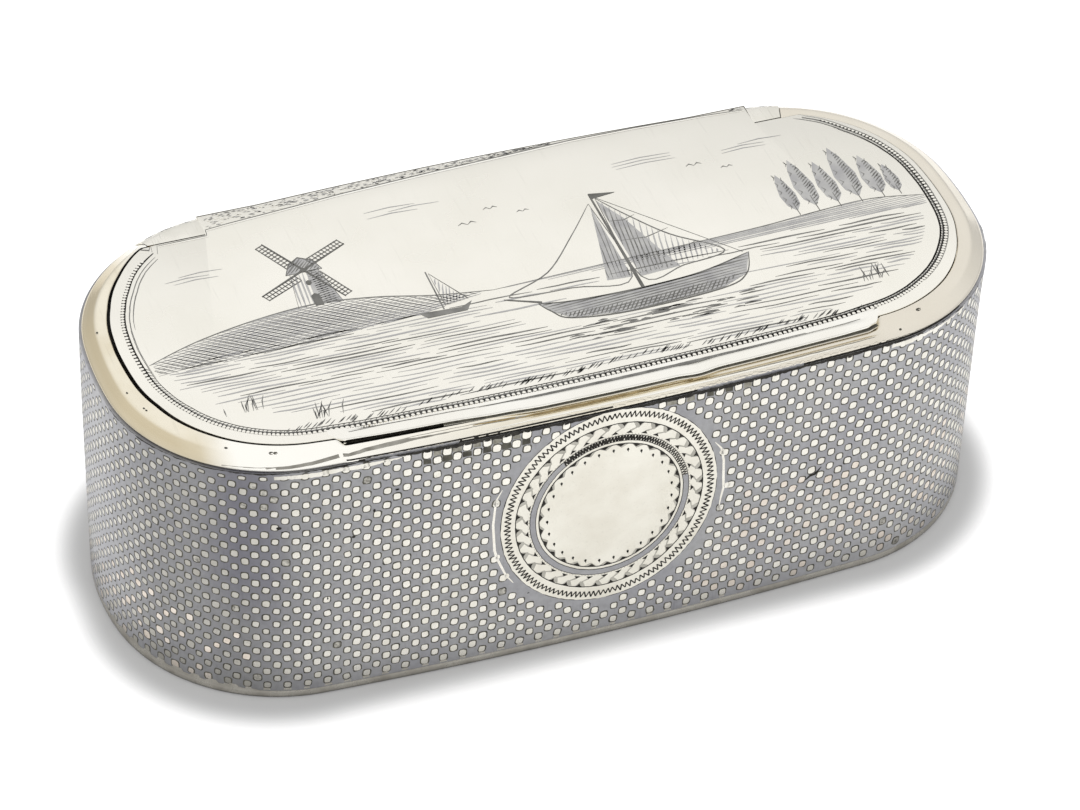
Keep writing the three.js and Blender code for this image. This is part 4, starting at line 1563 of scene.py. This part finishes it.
BORDER_DARK = ((-73.0, -40.0, 0.0, 0.3), (-43.0, 3.0, 0.0, 0.16), (-2.0, 66.0, 0.0, 0.3),
               (-58.0, 70.0, 0.42, 0.1), (20.0, 66.0, 0.36, 0.16))
BORDER_GREY = ((-72.6, -50.0, 0.5, 0.1, 0), (-72.6, -58.0, 0.85, 0.1, 0),
               (-60.0, 74.0, 0.0, 0.5, -1), (62.0, 75.0, 0.3, 0.1, 0), (36.0, 74.0, -0.36, 0.1, 0))
rope_dark = [border_line(*line, LIFT) for line in BORDER_DARK]
rope_grey = [border_line(*line, LIFT + depth * LAYER) for *line, depth in BORDER_GREY]
rope_beads = []
length = -71.0
while length < 72.0:
    strength = smooth(-76, -68, length) * (1 - smooth(62, 72, length))
    fine = 1 - 0.55 * smooth(-42, -34, length) * (1 - smooth(-6, 4, length))
    size = 0.1 + 0.07 * strength
    x, y = border_point(length, BEAD_OUT)
    rope_beads.append(round_spot(x, y, size, size, LIFT + LAYER))
    notch = border_point(length + BEAD_STEP / 2, BEAD_OUT - 0.18 * strength)
    root = border_point(length + BEAD_STEP / 2, 0.04)
    rope_dark.append(line_mark([root, notch], [0.22 * fine, 0.1 * fine], LIFT))
    if -52 < length < 62:
        out = border_point(length + 0.1, 0.1)
        back = border_point(length + 0.42, 0.42)
        rope_grey.append(line_mark([out, back], [0.12, 0.05], LIFT))
    length += BEAD_STEP * dice.uniform(0.94, 1.06)
lay_on("rope_border", lid_at, [(deep_black_and_painted_shade, rope_dark), (grey_cut, rope_grey),
                               (lid_silver, rope_beads)], "lid")

# %% [markdown]
# The picture on the lid
# The lid of such a box carries a view cut in fine lines. The one here is a
# plain river view made for this model: a windmill on a low bank, a sailing
# boat, poplars, birds and rippled water. An engraver sets the tone by the
# spacing of the lines: close hatching for shade, open lines for light, and
# bare silver for the sky. Three small tools do it: a smooth line through a
# few points, hatching that fills an outline, and a patch of tint under it.

# %% Drawing tools
CURVE_STEPS = 6
# Bold cuts of the picture: dark grey outlines
view_cut = dark_line("niello_in_a_bold_cut", "#767571", "#62615D", 1.0, 0.5)
picture_dark, picture_grey, picture_tint = [], [], []


def curve(points):
    smoothed = []
    padded = [points[0], *points, points[-1]]
    for p, q, r, s in zip(padded, padded[1:], padded[2:], padded[3:]):
        for i in range(CURVE_STEPS):
            t = i / CURVE_STEPS
            smoothed.append(tuple(
                0.5 * (2 * b + (c - a) * t + (2 * a - 5 * b + 4 * c - d) * t ** 2
                       + (3 * b - a - 3 * c + d) * t ** 3)
                for a, b, c, d in zip(p, q, r, s)))
    return smoothed + [points[-1]]


def hatch(outline, turn, gap, width, wild=0.3, lift=LIFT):
    across = (math.cos(turn), math.sin(turn))
    up = (-across[1], across[0])
    rotated = [(p[0] * across[0] + p[1] * across[1], p[0] * up[0] + p[1] * up[1])
               for p in outline]
    low, high = min(p[1] for p in rotated), max(p[1] for p in rotated)
    marks = []
    level = low + gap / 2
    while level < high:
        hits = []
        for a, b in zip(rotated, rotated[1:] + rotated[:1]):
            if (a[1] > level) != (b[1] > level):
                hits.append(a[0] + (b[0] - a[0]) * (level - a[1]) / (b[1] - a[1]))
        hits.sort()
        for start, stop in zip(hits[::2], hits[1::2]):
            start += dice.uniform(0, wild)
            stop -= dice.uniform(0, wild)
            if stop - start > 0.25:
                line = []
                for i in range(5):
                    run = start + (stop - start) * i / 4
                    side = level + dice.gauss(0, gap * 0.05)
                    line.append((run * across[0] + side * up[0], run * across[1] + side * up[1]))
                marks.append(tapered(line, width * dice.uniform(0.8, 1.2), lift))
        level += gap * dice.uniform(0.9, 1.1)
    return marks


def outline_mark(points, width):
    return tapered(curve(points), width, LIFT + LAYER)


def stroke(kind, points, width, depth=0):
    kind.append(tapered(list(points), width, LIFT + depth * LAYER))


def straight(kind, points, width, depth=0):
    kind.append(line_mark(points, width, LIFT + depth * LAYER))


def patch(kind, points, depth=0):
    kind.append(shape_mark(points, LIFT + depth * LAYER))

# %% [markdown]
# The land
# A low hill at the left and a far bank at the right are outlined and then
# hatched twice. Poplars are leaf shapes with short upward strokes.

# %% The far bank, the hill and the poplars
bank = [(-37.8, -1.6), (-33.0, 0.2), (-27.0, 1.5), (-21.0, 2.0), (-15.5, 1.2), (-10.5, -0.2),
        (-5.0, -1.2)]
picture_grey.append(outline_mark(bank, 0.14))
bank_fill = curve(bank) + [(-12.0, -2.4), (-24.0, -3.2), (-37.4, -3.4)]
picture_tint += hatch(bank_fill, 0.1, 0.3, 0.2)
picture_grey += hatch(bank_fill, -0.6, 0.42, 0.1)
far = [(-5.0, -1.2), (4.0, -0.9), (14.0, -0.6), (22.0, -0.3), (28.0, 0.2), (33.5, 0.4), (38.6, -0.6)]
picture_grey.append(outline_mark(far, 0.12))
far_fill = curve(far) + [(38.4, -1.9), (26.0, -1.7), (10.0, -1.7)]
picture_tint += hatch(far_fill, 0.03, 0.26, 0.2)
POPLARS = ((26.2, 6.6, 0.8), (28.2, 8.4, 1.0), (30.4, 7.4, 0.95), (32.6, 9.0, 1.1), (34.9, 7.0, 1.0),
           (36.6, 5.0, 0.7))
for x, top, wide in POPLARS:
    foot_y = 0.2
    tall = top - foot_y
    outline = [(x, foot_y + tall * 0.1), (x + wide * 0.8, foot_y + tall * 0.25),
               (x + wide, foot_y + tall * 0.5), (x + wide * 0.55, foot_y + tall * 0.82), (x, top),
               (x - wide * 0.55, foot_y + tall * 0.82), (x - wide, foot_y + tall * 0.5),
               (x - wide * 0.8, foot_y + tall * 0.25), (x, foot_y + tall * 0.1)]
    patch(picture_tint, outline[:-1], -1)
    right_half = outline[:5]
    picture_grey += hatch(right_half, 0.7, 0.3, 0.14, 0.15, LIFT + LAYER)
    stroke(picture_dark, [(x, foot_y), (x, foot_y + tall * 0.3)], 0.22, 2)
    for i in range(9):
        level = foot_y + tall * (0.16 + 0.09 * i)
        reach = wide * (0.9 - 0.5 * abs(i - 3) / 6)
        side = 1 if i % 2 else -1
        stroke(picture_grey, [(x + side * reach, level), (x + side * reach * 0.6, level + 0.35),
                              (x + side * reach * 0.9, level + 0.8)], 0.11, 1)

# %% [markdown]
# The windmill
# The mill is a tapering tower with a cap, shaded on its right. Its four
# arms are one arm drawn four times, a quarter turn apart.

# %% The windmill
HUB = (-20.6, 7.0)
tower = [(-22.7, 1.8), (-22.0, 6.8), (-19.3, 6.8), (-18.5, 1.6)]
cap = [(-22.4, 6.7), (-21.7, 8.1), (-20.6, 8.9), (-19.4, 8.1), (-18.9, 6.7)]
patch(picture_tint, [(-20.6, 1.8), (-20.5, 6.8), (-19.3, 6.8), (-18.5, 1.6)], -1)
patch(picture_tint, cap, -1)
picture_tint += hatch(tower, 1.5, 0.4, 0.2)
picture_grey += hatch([(-20.6, 1.8), (-20.5, 6.8), (-19.3, 6.8), (-18.5, 1.6)], 0.15, 0.3, 0.15)
picture_grey += hatch(cap, 0.8, 0.26, 0.15)
for line in ((tower[0], tower[1]), (tower[3], tower[2]), (cap[0], cap[1], cap[2], cap[3], cap[4]),
             (cap[0], cap[4])):
    stroke(picture_dark, line, 0.16, 2)
door = [(-21.1, 1.7), (-21.1, 3.2), (-20.7, 3.5), (-20.3, 3.2), (-20.3, 1.7)]
patch(picture_dark, door, 2)
picture_dark.append(round_spot(-20.7, 5.1, 0.28, 0.36, LIFT + 2 * LAYER))
ARM_FIRST = math.radians(28)
ARM_LONG = 5.4
SAIL_FROM = 1.2
SAIL_TO = 5.3
SAIL_BARS = 11
SAIL_BAR_STEP = 0.41
SAIL_WIDE = 0.93


def on_arm(turn, run, out):
    along = (math.cos(turn), math.sin(turn))
    side = (-along[1], along[0])
    return HUB[0] + along[0] * run + side[0] * out, HUB[1] + along[1] * run + side[1] * out


for arm in range(4):
    turn = ARM_FIRST + arm * math.pi / 2
    straight(picture_dark, [on_arm(turn, 0, 0), on_arm(turn, ARM_LONG, 0)], [0.24, 0.12], 3)
    for inner, outer, width in ((0.95, 0.85, 0.1), (0.48, 0.42, 0.07)):
        bar = [on_arm(turn, SAIL_FROM, inner), on_arm(turn, SAIL_TO, outer)]
        straight(picture_grey, bar, width, 3)
    for i in range(SAIL_BARS):
        run = SAIL_FROM + SAIL_BAR_STEP * i
        bar = [on_arm(turn, run, 0), on_arm(turn, run, SAIL_WIDE)]
        straight(picture_grey, bar, 0.08, 3)
picture_dark.append(round_spot(*HUB, 0.3, 0.3, LIFT + 4 * LAYER))

# %% [markdown]
# The boats
# The large boat has a tinted hull hatched twice below, two sails and a
# pennant. The small one is drawn with a few lines.

# %% The sailing boats
hull = [(-1.8, -4.4), (1.5, -5.0), (8.0, -5.2), (14.0, -4.8), (19.4, -3.4), (18.0, -6.3),
        (15.0, -7.6), (6.0, -8.0), (0.4, -7.2), (-1.0, -5.8)]
patch(picture_tint, hull)
picture_grey += hatch(hull, 0.06, 0.36, 0.17, 0.2, LIFT + LAYER)
picture_dark += hatch([(-1.0, -6.2), (6.0, -6.6), (17.6, -6.0), (15.0, -7.6), (6.0, -8.0),
                       (0.4, -7.2)], 0.9, 0.34, 0.12, 0.2, LIFT + 2 * LAYER)
picture_dark.append(outline_mark([hull[0], hull[1], hull[2], hull[3], hull[4]], 0.24))
picture_dark.append(outline_mark([hull[0], hull[9], hull[8], hull[7], hull[6], hull[5], hull[4]],
                                 0.18))
straight(picture_dark, [(8.2, -5.1), (8.35, 9.4)], [0.34, 0.16], 3)
straight(picture_dark, [(-1.4, -4.3), (-4.6, -2.9)], [0.24, 0.12], 3)
main_sail = [(8.7, 8.6), (10.6, 5.4), (13.4, 1.4), (17.4, -2.4), (13.0, -3.3), (8.6, -3.6)]
jib = [(7.8, 8.0), (4.6, 4.0), (0.6, -0.4), (-4.0, -2.7), (2.0, -3.2), (7.8, -3.4)]
picture_grey.append(outline_mark(main_sail + main_sail[:1], 0.14))
picture_grey.append(outline_mark(jib + jib[:1], 0.14))
patch(picture_tint, [(8.7, 8.2), (10.2, 5.0), (11.6, 0.0), (12.6, -3.3), (8.6, -3.6)], -1)
picture_tint += hatch(main_sail, 1.35, 0.5, 0.16)
picture_grey += hatch([(8.7, 8.2), (10.2, 5.0), (11.4, 0.0), (12.0, -3.3), (8.6, -3.6)], 1.45, 0.4,
                      0.13, 0.5, LIFT + LAYER)
patch(picture_tint, [(7.8, 7.4), (6.6, 2.0), (5.4, -3.2), (7.8, -3.4)], -1)
picture_grey += hatch([(7.8, 7.4), (6.6, 2.0), (5.4, -3.2), (7.8, -3.4)], 1.45, 0.4, 0.1)
for share in (0.3, 0.55, 0.78):
    left = (8.7, 8.6 - 12.2 * share)
    right = (8.7 + 8.9 * share, 8.6 - 11.4 * share)
    stroke(picture_grey, [left, ((left[0] + right[0]) / 2, left[1] - 0.25), right], 0.1, 2)
pennant = [(8.4, 9.4), (10.9, 8.9), (8.4, 8.6)]
patch(picture_dark, pennant, 2)
straight(picture_grey, [(8.3, 9.2), (18.9, -3.2)], 0.06)
small_hull = [(-12.6, -2.3), (-8.6, -2.6), (-7.4, -2.0), (-8.2, -3.2), (-12.0, -3.2)]
patch(picture_grey, small_hull, 1)
straight(picture_grey, [(-10.2, -2.4), (-10.1, 3.2)], 0.13, 2)
small_sail = [(-9.9, 2.9), (-7.6, -1.6), (-9.9, -1.9)]
picture_grey.append(line_mark(small_sail, 0.1, LIFT + 2 * LAYER, closed=True))
picture_tint += hatch(small_sail, 1.3, 0.3, 0.14)

# %% [markdown]
# Water and sky
# Water is broken level lines that leave room for the hull. Reeds, grass,
# birds and thin clouds are single tapering strokes.

# %% The water, the reeds, the birds and the clouds
WATER_TOP = -2.4
WATER_LOW = -14.2
WATER_HALF = 37.5
WATER_DEEP = 16.2
WATER_CURVE = 2.6
HULL_CLEAR = (hull[0][0] - 1.2, hull[4][0] + 1)
HULL_DEEP = (-8.2, -3.2)
WAVE_LONG = (4.0, 13.0)
WAVE_LEAST = 1.2
WAVE_POINTS = 6
WAVE_SWING = 0.05
WAVE_FALL = 0.02


def wave_line(x, stop, level):
    points = []
    for i in range(WAVE_POINTS + 1):
        along = x + (stop - x) * i / WAVE_POINTS
        swing = level + WAVE_SWING * math.sin(1.1 * i + level)
        points.append((along, swing + dice.gauss(0, 0.015) - WAVE_FALL * i))
    return points


level = WATER_TOP
while level > WATER_LOW:
    reach = WATER_HALF * math.sqrt(max(0.0, 1 - (abs(level) / WATER_DEEP) ** WATER_CURVE))
    x = -reach + dice.uniform(0, 3)
    while x < reach - 2:
        long = dice.uniform(*WAVE_LONG)
        stop = min(x + long, reach)
        behind = between((x + stop) / 2, HULL_CLEAR) and between(level, HULL_DEEP)
        if stop - x > WAVE_LEAST and not behind:
            wave = wave_line(x, stop, level)
            kind = picture_tint if dice.random() < 0.6 else picture_grey
            stroke(kind, wave, dice.uniform(0.12, 0.22))
        x = stop + dice.uniform(0.3, 1.8)
    level -= dice.uniform(0.36, 0.62)
REFLECTIONS = 46
for i in range(REFLECTIONS):
    x = dice.uniform(-1.0, 17.5)
    y = -8.3 - dice.uniform(0, 2.4)
    long = dice.uniform(0.8, 2.4)
    stroke(picture_grey, [(x, y), (x + long / 2, y + 0.06), (x + long, y)], 0.2, 1)
REEDS = ((-31.0, -10.4, 9), (-25.0, -13.2, 11), (29.0, -10.8, 9))
for middle, root, count in REEDS:
    for i in range(count):
        x = middle + dice.gauss(0, 1.1)
        lean = dice.uniform(-0.2, 0.9)
        tall = dice.uniform(0.9, 2.4)
        bend = (x + lean * 0.4, root + tall * 0.6)
        stroke(picture_grey, [(x, root), bend, (x + lean, root + tall)], 0.13, 1)
GRASS_BLADES = 150
GRASS_Y = -14.55
for i in range(GRASS_BLADES):
    x = dice.uniform(-30, 26)
    y = GRASS_Y + 0.25 * math.sin(x * 0.4) + dice.uniform(0, 0.35)
    stroke(picture_grey, [(x, y), (x + 0.35, y + 0.25), (x + 0.75, y + 0.6)], 0.12)
BIRDS = ((-4.0, 8.6, 0.9), (-1.2, 10.2, 0.7), (1.6, 8.9, 0.6), (19.5, 10.4, 0.8), (22.4, 9.2, 0.6))
for x, y, size in BIRDS:
    for side in (-1, 1):
        wing = [(x, y), (x + side * size * 0.5, y + size * 0.42), (x + side * size, y + size * 0.1)]
        stroke(picture_grey, wing, 0.14)
CLOUDS = ((-30.5, 9.5, 4.2), (16.0, 13.0, 6.0), (26.0, 12.2, 4.5), (-9.0, 13.2, 5.0))
for x, y, long in CLOUDS:
    for i in range(3):
        shift = dice.uniform(-1.2, 1.2)
        stroke(picture_tint, [(x - long / 2 + shift, y - 0.45 * i), (x + shift,
                                                                     y - 0.45 * i + 0.18),
                              (x + long / 2 + shift, y - 0.45 * i)], 0.12)
lay_on("engraved_river_view", lid_at, [(tint_cut, picture_tint), (grey_cut, picture_grey),
                                       (view_cut, picture_dark)], "lid")

# %% [markdown]
# The back of the lid and the hinge's cover
# Behind the picture a fine line follows the back edge, and between it and
# the edge the silver is roughened by hand with short strokes, which hides
# the wear over the hinge. At the left the line turns in two small steps.

# %% The roughened strip
BACK_LINE = ((-32.3, 14.6), (-27.5, 14.66), (-27.4, 15.5), (-25.4, 15.75), (-18.0, 16.35),
             (-13.8, 16.75), (-4.5, 17.25), (2.5, 17.5), (9.7, 17.8), (16.0, 17.75),
             (23.2, 17.45), (27.4, 17.1))


def back_line(x, shift=0.0):
    return x, table_value(BACK_LINE, x) + shift


back_tint, back_grey, back_bright = [], [], []
LINE_ENDS = ((-32.2, -27.5), (-27.4, 27.3))
BACK_STATIONS = 0.8
BACK_STROKES = 620
BACK_STROKE_X = (-27.3, 27.0)
STROKE_LONG = (0.2, 0.6)
STROKE_WIDE = (0.07, 0.14)
ABOVE_LINE = 0.15
FROM_EDGE = 0.12
LEAST_ROOM = 0.1
BRIGHT_SHARE = 0.45
stations = [x for ends in LINE_ENDS for x in steps(*ends, BACK_STATIONS)]
back_grey.append(tapered([back_line(x) for x in stations], 0.12, LIFT))
back_bright.append(tapered([back_line(x, -0.2) for x in stations], 0.22, LIFT))
for i in range(BACK_STROKES):
    x = dice.uniform(*BACK_STROKE_X)
    low = back_line(x)[1] + ABOVE_LINE
    high = lid_back_y(x) - FROM_EDGE
    if high - low < LEAST_ROOM:
        continue
    y = dice.uniform(low, high)
    long = dice.uniform(*STROKE_LONG)
    kind = back_bright if dice.random() < BRIGHT_SHARE else back_tint
    kind.append(tapered([(x, y), (x + long / 2, y + 0.03), (x + long, y + dice.gauss(0, 0.04))],
                        dice.uniform(*STROKE_WIDE), LIFT + LAYER))
TICKS = (((-34.1, 14.6), (-33.2, 14.2), (-33.0, 14.68)), ((-33.0, 13.9), (-32.9, 14.68)),
         ((-32.6, 13.5), (-32.3, 14.68)))
for tick in TICKS:
    back_grey.append(tapered(list(tick), 0.16, LIFT + LAYER))
lay_on("back_line_and_strokes", lid_at, [(grey_cut, back_grey), (tint_cut, back_tint),
                                         (lip_silver, back_bright)], "lid")

# %% [markdown]
# Strokes on the rail
# The same short strokes go on along the rail. They need the height of the
# rail's rounded outside at any distance in, which is read off its section.

# %% Strokes on the rail
def outside_height(profile, inset):
    for (first, high), (second, low) in zip(profile, profile[1:]):
        if second <= inset <= first:
            return low + (high - low) * (inset - second) / (first - second)
    return profile[0][1] if inset > profile[0][0] else profile[-1][1]


def on_rail(length, inset, lift):
    return rim_at(length, inset, outside_height(RAIL_OUTSIDE, inset) + lift)


rail_tint, rail_bright = [], []
RAIL_STROKES = 900
RAIL_FREE = (length_at(RAIL_RIGHT, True) + 0.5, length_at(RAIL_LEFT, True) - 0.8)
STROKE_INSETS = (0.3, 0.84)
RAIL_STROKE_WIDE = (0.06, 0.13)
STROKE_DIP = 0.02
TINT_SHARE = 0.6
for i in range(RAIL_STROKES):
    s = dice.uniform(*RAIL_FREE)
    spot = rim_at(s, 0.0, 0.0) / MM
    nearest, widest = STROKE_INSETS
    if in_hinge(s):
        widest = min(widest, spot.y - scoop_y(spot.x, LID_TOP) - FROM_EDGE)
    inset = dice.uniform(nearest, widest)
    long = dice.uniform(*STROKE_LONG)
    mark = tapered([(s, inset), (s + long / 2, inset - STROKE_DIP), (s + long, inset)],
                   dice.uniform(*RAIL_STROKE_WIDE), LIFT)
    (rail_tint if dice.random() < TINT_SHARE else rail_bright).append(mark)
lay_on("strokes_on_the_rail", on_rail, [(tint_cut, rail_tint), (lip_silver, rail_bright)], "box")

# %% [markdown]
# Painted light on the rim and the lip
# Shade is painted on the rim: brown in the hollow below the lip, and grey
# along its outer slope below the lip's left half and in a thin line at the
# right. A thin painted highlight runs along the rim under the front, and the
# lip's hollow has a few fine grey lines of painted shade. Small pits and dents
# are scattered on the rim.

# %% Painted shade, painted highlight and pits
# Brown painted shade: a warm shadow in the hollow under the lip
brown_painted_shade = polished("brown_painted_shade_in_the_hollow", "#A8946C", "#7C6A49", 0.3, 1.5, 0.3, 0.2)
# Grey painted shade: a dark band on the rim's outer slope
grey_painted_shade = polished("grey_painted_shade_on_the_rim", "#A3A098", "#7A776F", 0.3, 1.5, 0.3, 0.2)


def on_rim(length, inset, lift):
    return rim_at(length, inset, outside_height(rim_section(length)[4:], inset) + lift)


PAINTED_BAND_STEP = 0.5
PIT_LONG = 1.6


def long_painted_band(low, high, inset, wide):
    points = [(s, inset + dice.gauss(0, 0.012)) for s in steps(low, high, PAINTED_BAND_STEP)]
    return tapered(points, wide, LIFT)


SHADE_PATH = ((-36.0, 0.08), (-31.0, 0.16), (-28.0, 0.3), (-25.0, 0.55), (-23.0, 0.8), (-18.0, 1.0),
              (-12.0, 1.08), (-6.0, 1.08))
brown_shade_marks = [long_painted_band(-13.0, 8.0, 1.08, 0.2)]
grey_shade_marks = [tapered([(s, table_value(SHADE_PATH, s) + dice.gauss(0, 0.01))
                        for s in steps(-36.0, -6.0, PAINTED_BAND_STEP)], 0.3, LIFT),
               long_painted_band(9.0, 26.0, 0.62, 0.12)]
rim_painted_highlight = [long_painted_band(-12.0, 24.0, 0.44, 0.14)]
PITS = ((-58.4, 1.3, 0.12), (-49.1, 1.5, 0.1), (-46.2, 1.72, 0.1), (-45.8, 1.72, 0.1),
        (-36.0, 1.46, 0.12), (-31.6, 1.34, 0.16), (-31.2, 1.34, 0.14), (31.5, 1.52, 0.2),
        (28.6, 0.55, 0.1))
rim_pits = [round_spot(s, inset, size * PIT_LONG, size, LIFT, 6) for s, inset, size in PITS]
lay_on("painted_light_and_pits_on_the_rim", on_rim, [(brown_painted_shade, brown_shade_marks), (grey_painted_shade, grey_shade_marks),
                                   (lip_silver, rim_painted_highlight), (dot_edge_and_painted_shade, rim_pits)], "box")


def on_lip(length, inset, lift):
    return rim_at(length, inset, outside_height(lip_section(length)[1:], inset) + lift)


# Painted shade: fine grey lines along the lip's hollow.
COVE_SHADE_LINES = ((2.92, -15.0, 20.0, 0.16), (2.74, -24.0, 25.5, 0.2), (2.56, -12.0, 24.0, 0.1),
              (2.44, -9.0, 16.0, 0.07))
cove_shade_marks = []
for inset, low, high, wide in COVE_SHADE_LINES:
    points = [(s, inset + dice.gauss(0, 0.008)) for s in steps(low, high, PAINTED_BAND_STEP)]
    cove_shade_marks.append(tapered(points, wide, LIFT))
lay_on("painted_shade_lines_in_the_lip", on_lip, [(grey_cut, cove_shade_marks)], "lid")

# %% [markdown]
# Inside and underneath
# The floor, the inner band of the mouth, the hinge's knuckles and its pin
# keep the shapes of the solids. The inside is gilt, because snuff and damp
# tarnish bare silver.

# %% Finishes for the kept solids
for name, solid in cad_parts.items():
    metal = hinge_silver
    if name in ("base_plate", "mouth_collar"):
        metal = gilt_inside
    if name == "hinge_pin":
        metal = pin_wire
    solid.data.materials.clear()
    solid.data.materials.append(metal)
print("kept solids have finishes")

# %% [markdown]
# Table and light
# The box stands on a plain white table in soft light from all round. The
# table stays white to the camera, so a little of its white is its own glow,
# which only the camera and the mirrors in the metal see. Above, the room is
# white, and it gets darker towards the horizon, so that the round mouldings
# show their form.

# %% Light levels
TABLE_GLOW = 0.36
MIRROR_GLOW = 0.15
ROOM_LOW = 0.66
ROOM_HIGH = 1.02
ROOM_FILL = 1.0
LAMPS = (("left_window", (-0.5, -0.35, 0.6), 0.5, 0.1), ("far_window", (0.4, 0.6, 0.7), 0.6, 0.2))

# %% [markdown]
# The paper
# The box stands on plain white paper. Near the foot the paper's colour and
# glow are darkened: a painted shadow under the rounded edge.

# %% The table
TABLE_HALF = 3.0
CORE = (0.0271, 0.0032, 1.0)
CORNER_ROUND = 0.0157
PAINTED_SHADOW_REACH = 0.0048
PAINTED_SHADOW_TONE = 0.42
PAPER_ROUGH = 0.9
PAPER_GLOSS = 0.1
bpy.ops.object.select_all(action="DESELECT")
bpy.ops.mesh.primitive_plane_add(size=2 * TABLE_HALF, location=(0, 0, 0))
table = bpy.context.object
table.name = "white_table"
# Matt white paper, darkened near the box's foot by a painted shadow
paper, tree, shader = blank("white_paper_table")
path = add(tree, "ShaderNodeLightPath")
mirror_glow = add(tree, "ShaderNodeMath", {"operation": "MULTIPLY", 1: MIRROR_GLOW},
                  {0: path.outputs["Is Glossy Ray"]}).outputs[0]
glow = add(tree, "ShaderNodeMix", {"data_type": "FLOAT", 3: TABLE_GLOW},
           {0: path.outputs["Is Camera Ray"], 2: mirror_glow}).outputs[0]
# Painted shadow: the paper's colour and glow fall off towards the box's outline.
where = add(tree, "ShaderNodeTexCoord").outputs["Object"]
reach = add(tree, "ShaderNodeVectorMath", {"operation": "ABSOLUTE"}, {0: where}).outputs[0]
past = add(tree, "ShaderNodeVectorMath", {"operation": "SUBTRACT", 1: CORE}, {0: reach}).outputs[0]
past = add(tree, "ShaderNodeVectorMath", {"operation": "MAXIMUM"}, {0: past}).outputs[0]
away = add(tree, "ShaderNodeVectorMath", {"operation": "LENGTH"}, {0: past}).outputs["Value"]
near = add(tree, "ShaderNodeMapRange", {"interpolation_type": "SMOOTHERSTEP",
                                        "From Min": CORNER_ROUND, "From Max": CORNER_ROUND + PAINTED_SHADOW_REACH,
                                        "To Min": PAINTED_SHADOW_TONE, "To Max": 1.0}, {"Value": away})
painted_shadow_colour = add(tree, "ShaderNodeCombineColor", None, {i: near.outputs["Result"] for i in range(3)})
glow = add(tree, "ShaderNodeMath", {"operation": "MULTIPLY"}, {0: glow, 1: near.outputs["Result"]}
           ).outputs[0]
tree.links.new(painted_shadow_colour.outputs[0], shader.inputs["Base Color"])
shader.inputs["Roughness"].default_value = PAPER_ROUGH
shader.inputs["Specular IOR Level"].default_value = PAPER_GLOSS
shader.inputs["Emission Color"].default_value = (1, 1, 1, 1)
tree.links.new(glow, shader.inputs["Emission Strength"])
table.data.materials.append(paper)

# %% The room's light
SKY_TOP = 0.6
room = bpy.data.worlds.new("white_room")
bpy.context.scene.world = room
room.use_nodes = True
tree = room.node_tree
sky = tree.nodes["Background"]
up = add(tree, "ShaderNodeSeparateXYZ", None,
         {0: add(tree, "ShaderNodeTexCoord").outputs["Generated"]}).outputs["Z"]
rise = add(tree, "ShaderNodeMapRange", {"From Min": 0.0, "From Max": SKY_TOP, "To Min": ROOM_LOW,
                                        "To Max": ROOM_HIGH}, {"Value": up}).outputs["Result"]
path = add(tree, "ShaderNodeLightPath")
mirrored = add(tree, "ShaderNodeMix", {"data_type": "FLOAT", 2: ROOM_FILL},
               {0: path.outputs["Is Glossy Ray"], 3: rise}).outputs[0]
seen = add(tree, "ShaderNodeMix", {"data_type": "FLOAT", 3: 1.0},
           {0: path.outputs["Is Camera Ray"], 2: mirrored}).outputs[0]
sky.inputs["Color"].default_value = (1, 1, 1, 1)
tree.links.new(seen, sky.inputs["Strength"])


def soft_lamp(name, place, size, watts):
    data = bpy.data.lights.new(name, "AREA")
    data.shape = "DISK"
    data.size = size
    data.energy = watts
    lamp = bpy.data.objects.new(name, data)
    bpy.context.scene.collection.objects.link(lamp)
    lamp.location = place
    lamp.rotation_euler = (-Vector(place)).to_track_quat("-Z", "Y").to_euler()
    lamp.visible_glossy = False


for name, place, size, watts in LAMPS:
    soft_lamp(name, place, size, watts)

# %% [markdown]
# The camera
# The photograph was taken from the front and a little to the left, looking
# down at about forty degrees, from some forty centimetres with a long lens.
# The camera is turned a little about its own axis, as the photograph is.

# %% The camera
AZIMUTH = math.radians(-21.88)
ELEVATION = math.radians(40.76)
ROLL = math.radians(-2.23)
DISTANCE = 0.4124
LOOK_AT = Vector((5.867, 13.335, 0.0)) * MM
LENS = 138.53
SENSOR = 36.0
away = Vector((math.sin(AZIMUTH) * math.cos(ELEVATION), -math.cos(AZIMUTH) * math.cos(ELEVATION),
               math.sin(ELEVATION)))
right = (-away).cross(Vector((0, 0, 1))).normalized()
down = (-away).cross(right)
picture_x = math.cos(ROLL) * right + math.sin(ROLL) * down
picture_down = -math.sin(ROLL) * right + math.cos(ROLL) * down
lens = bpy.data.cameras.new("camera")
lens.lens = LENS
lens.sensor_width = SENSOR
lens.clip_start = 0.01
camera = bpy.data.objects.new("camera", lens)
bpy.context.scene.collection.objects.link(camera)
turned = Matrix((picture_x, -picture_down, away)).transposed().to_4x4()
turned.translation = LOOK_AT + DISTANCE * away
camera.matrix_world = turned
bpy.context.scene.camera = camera
bpy.context.scene.view_settings.view_transform = "Standard"
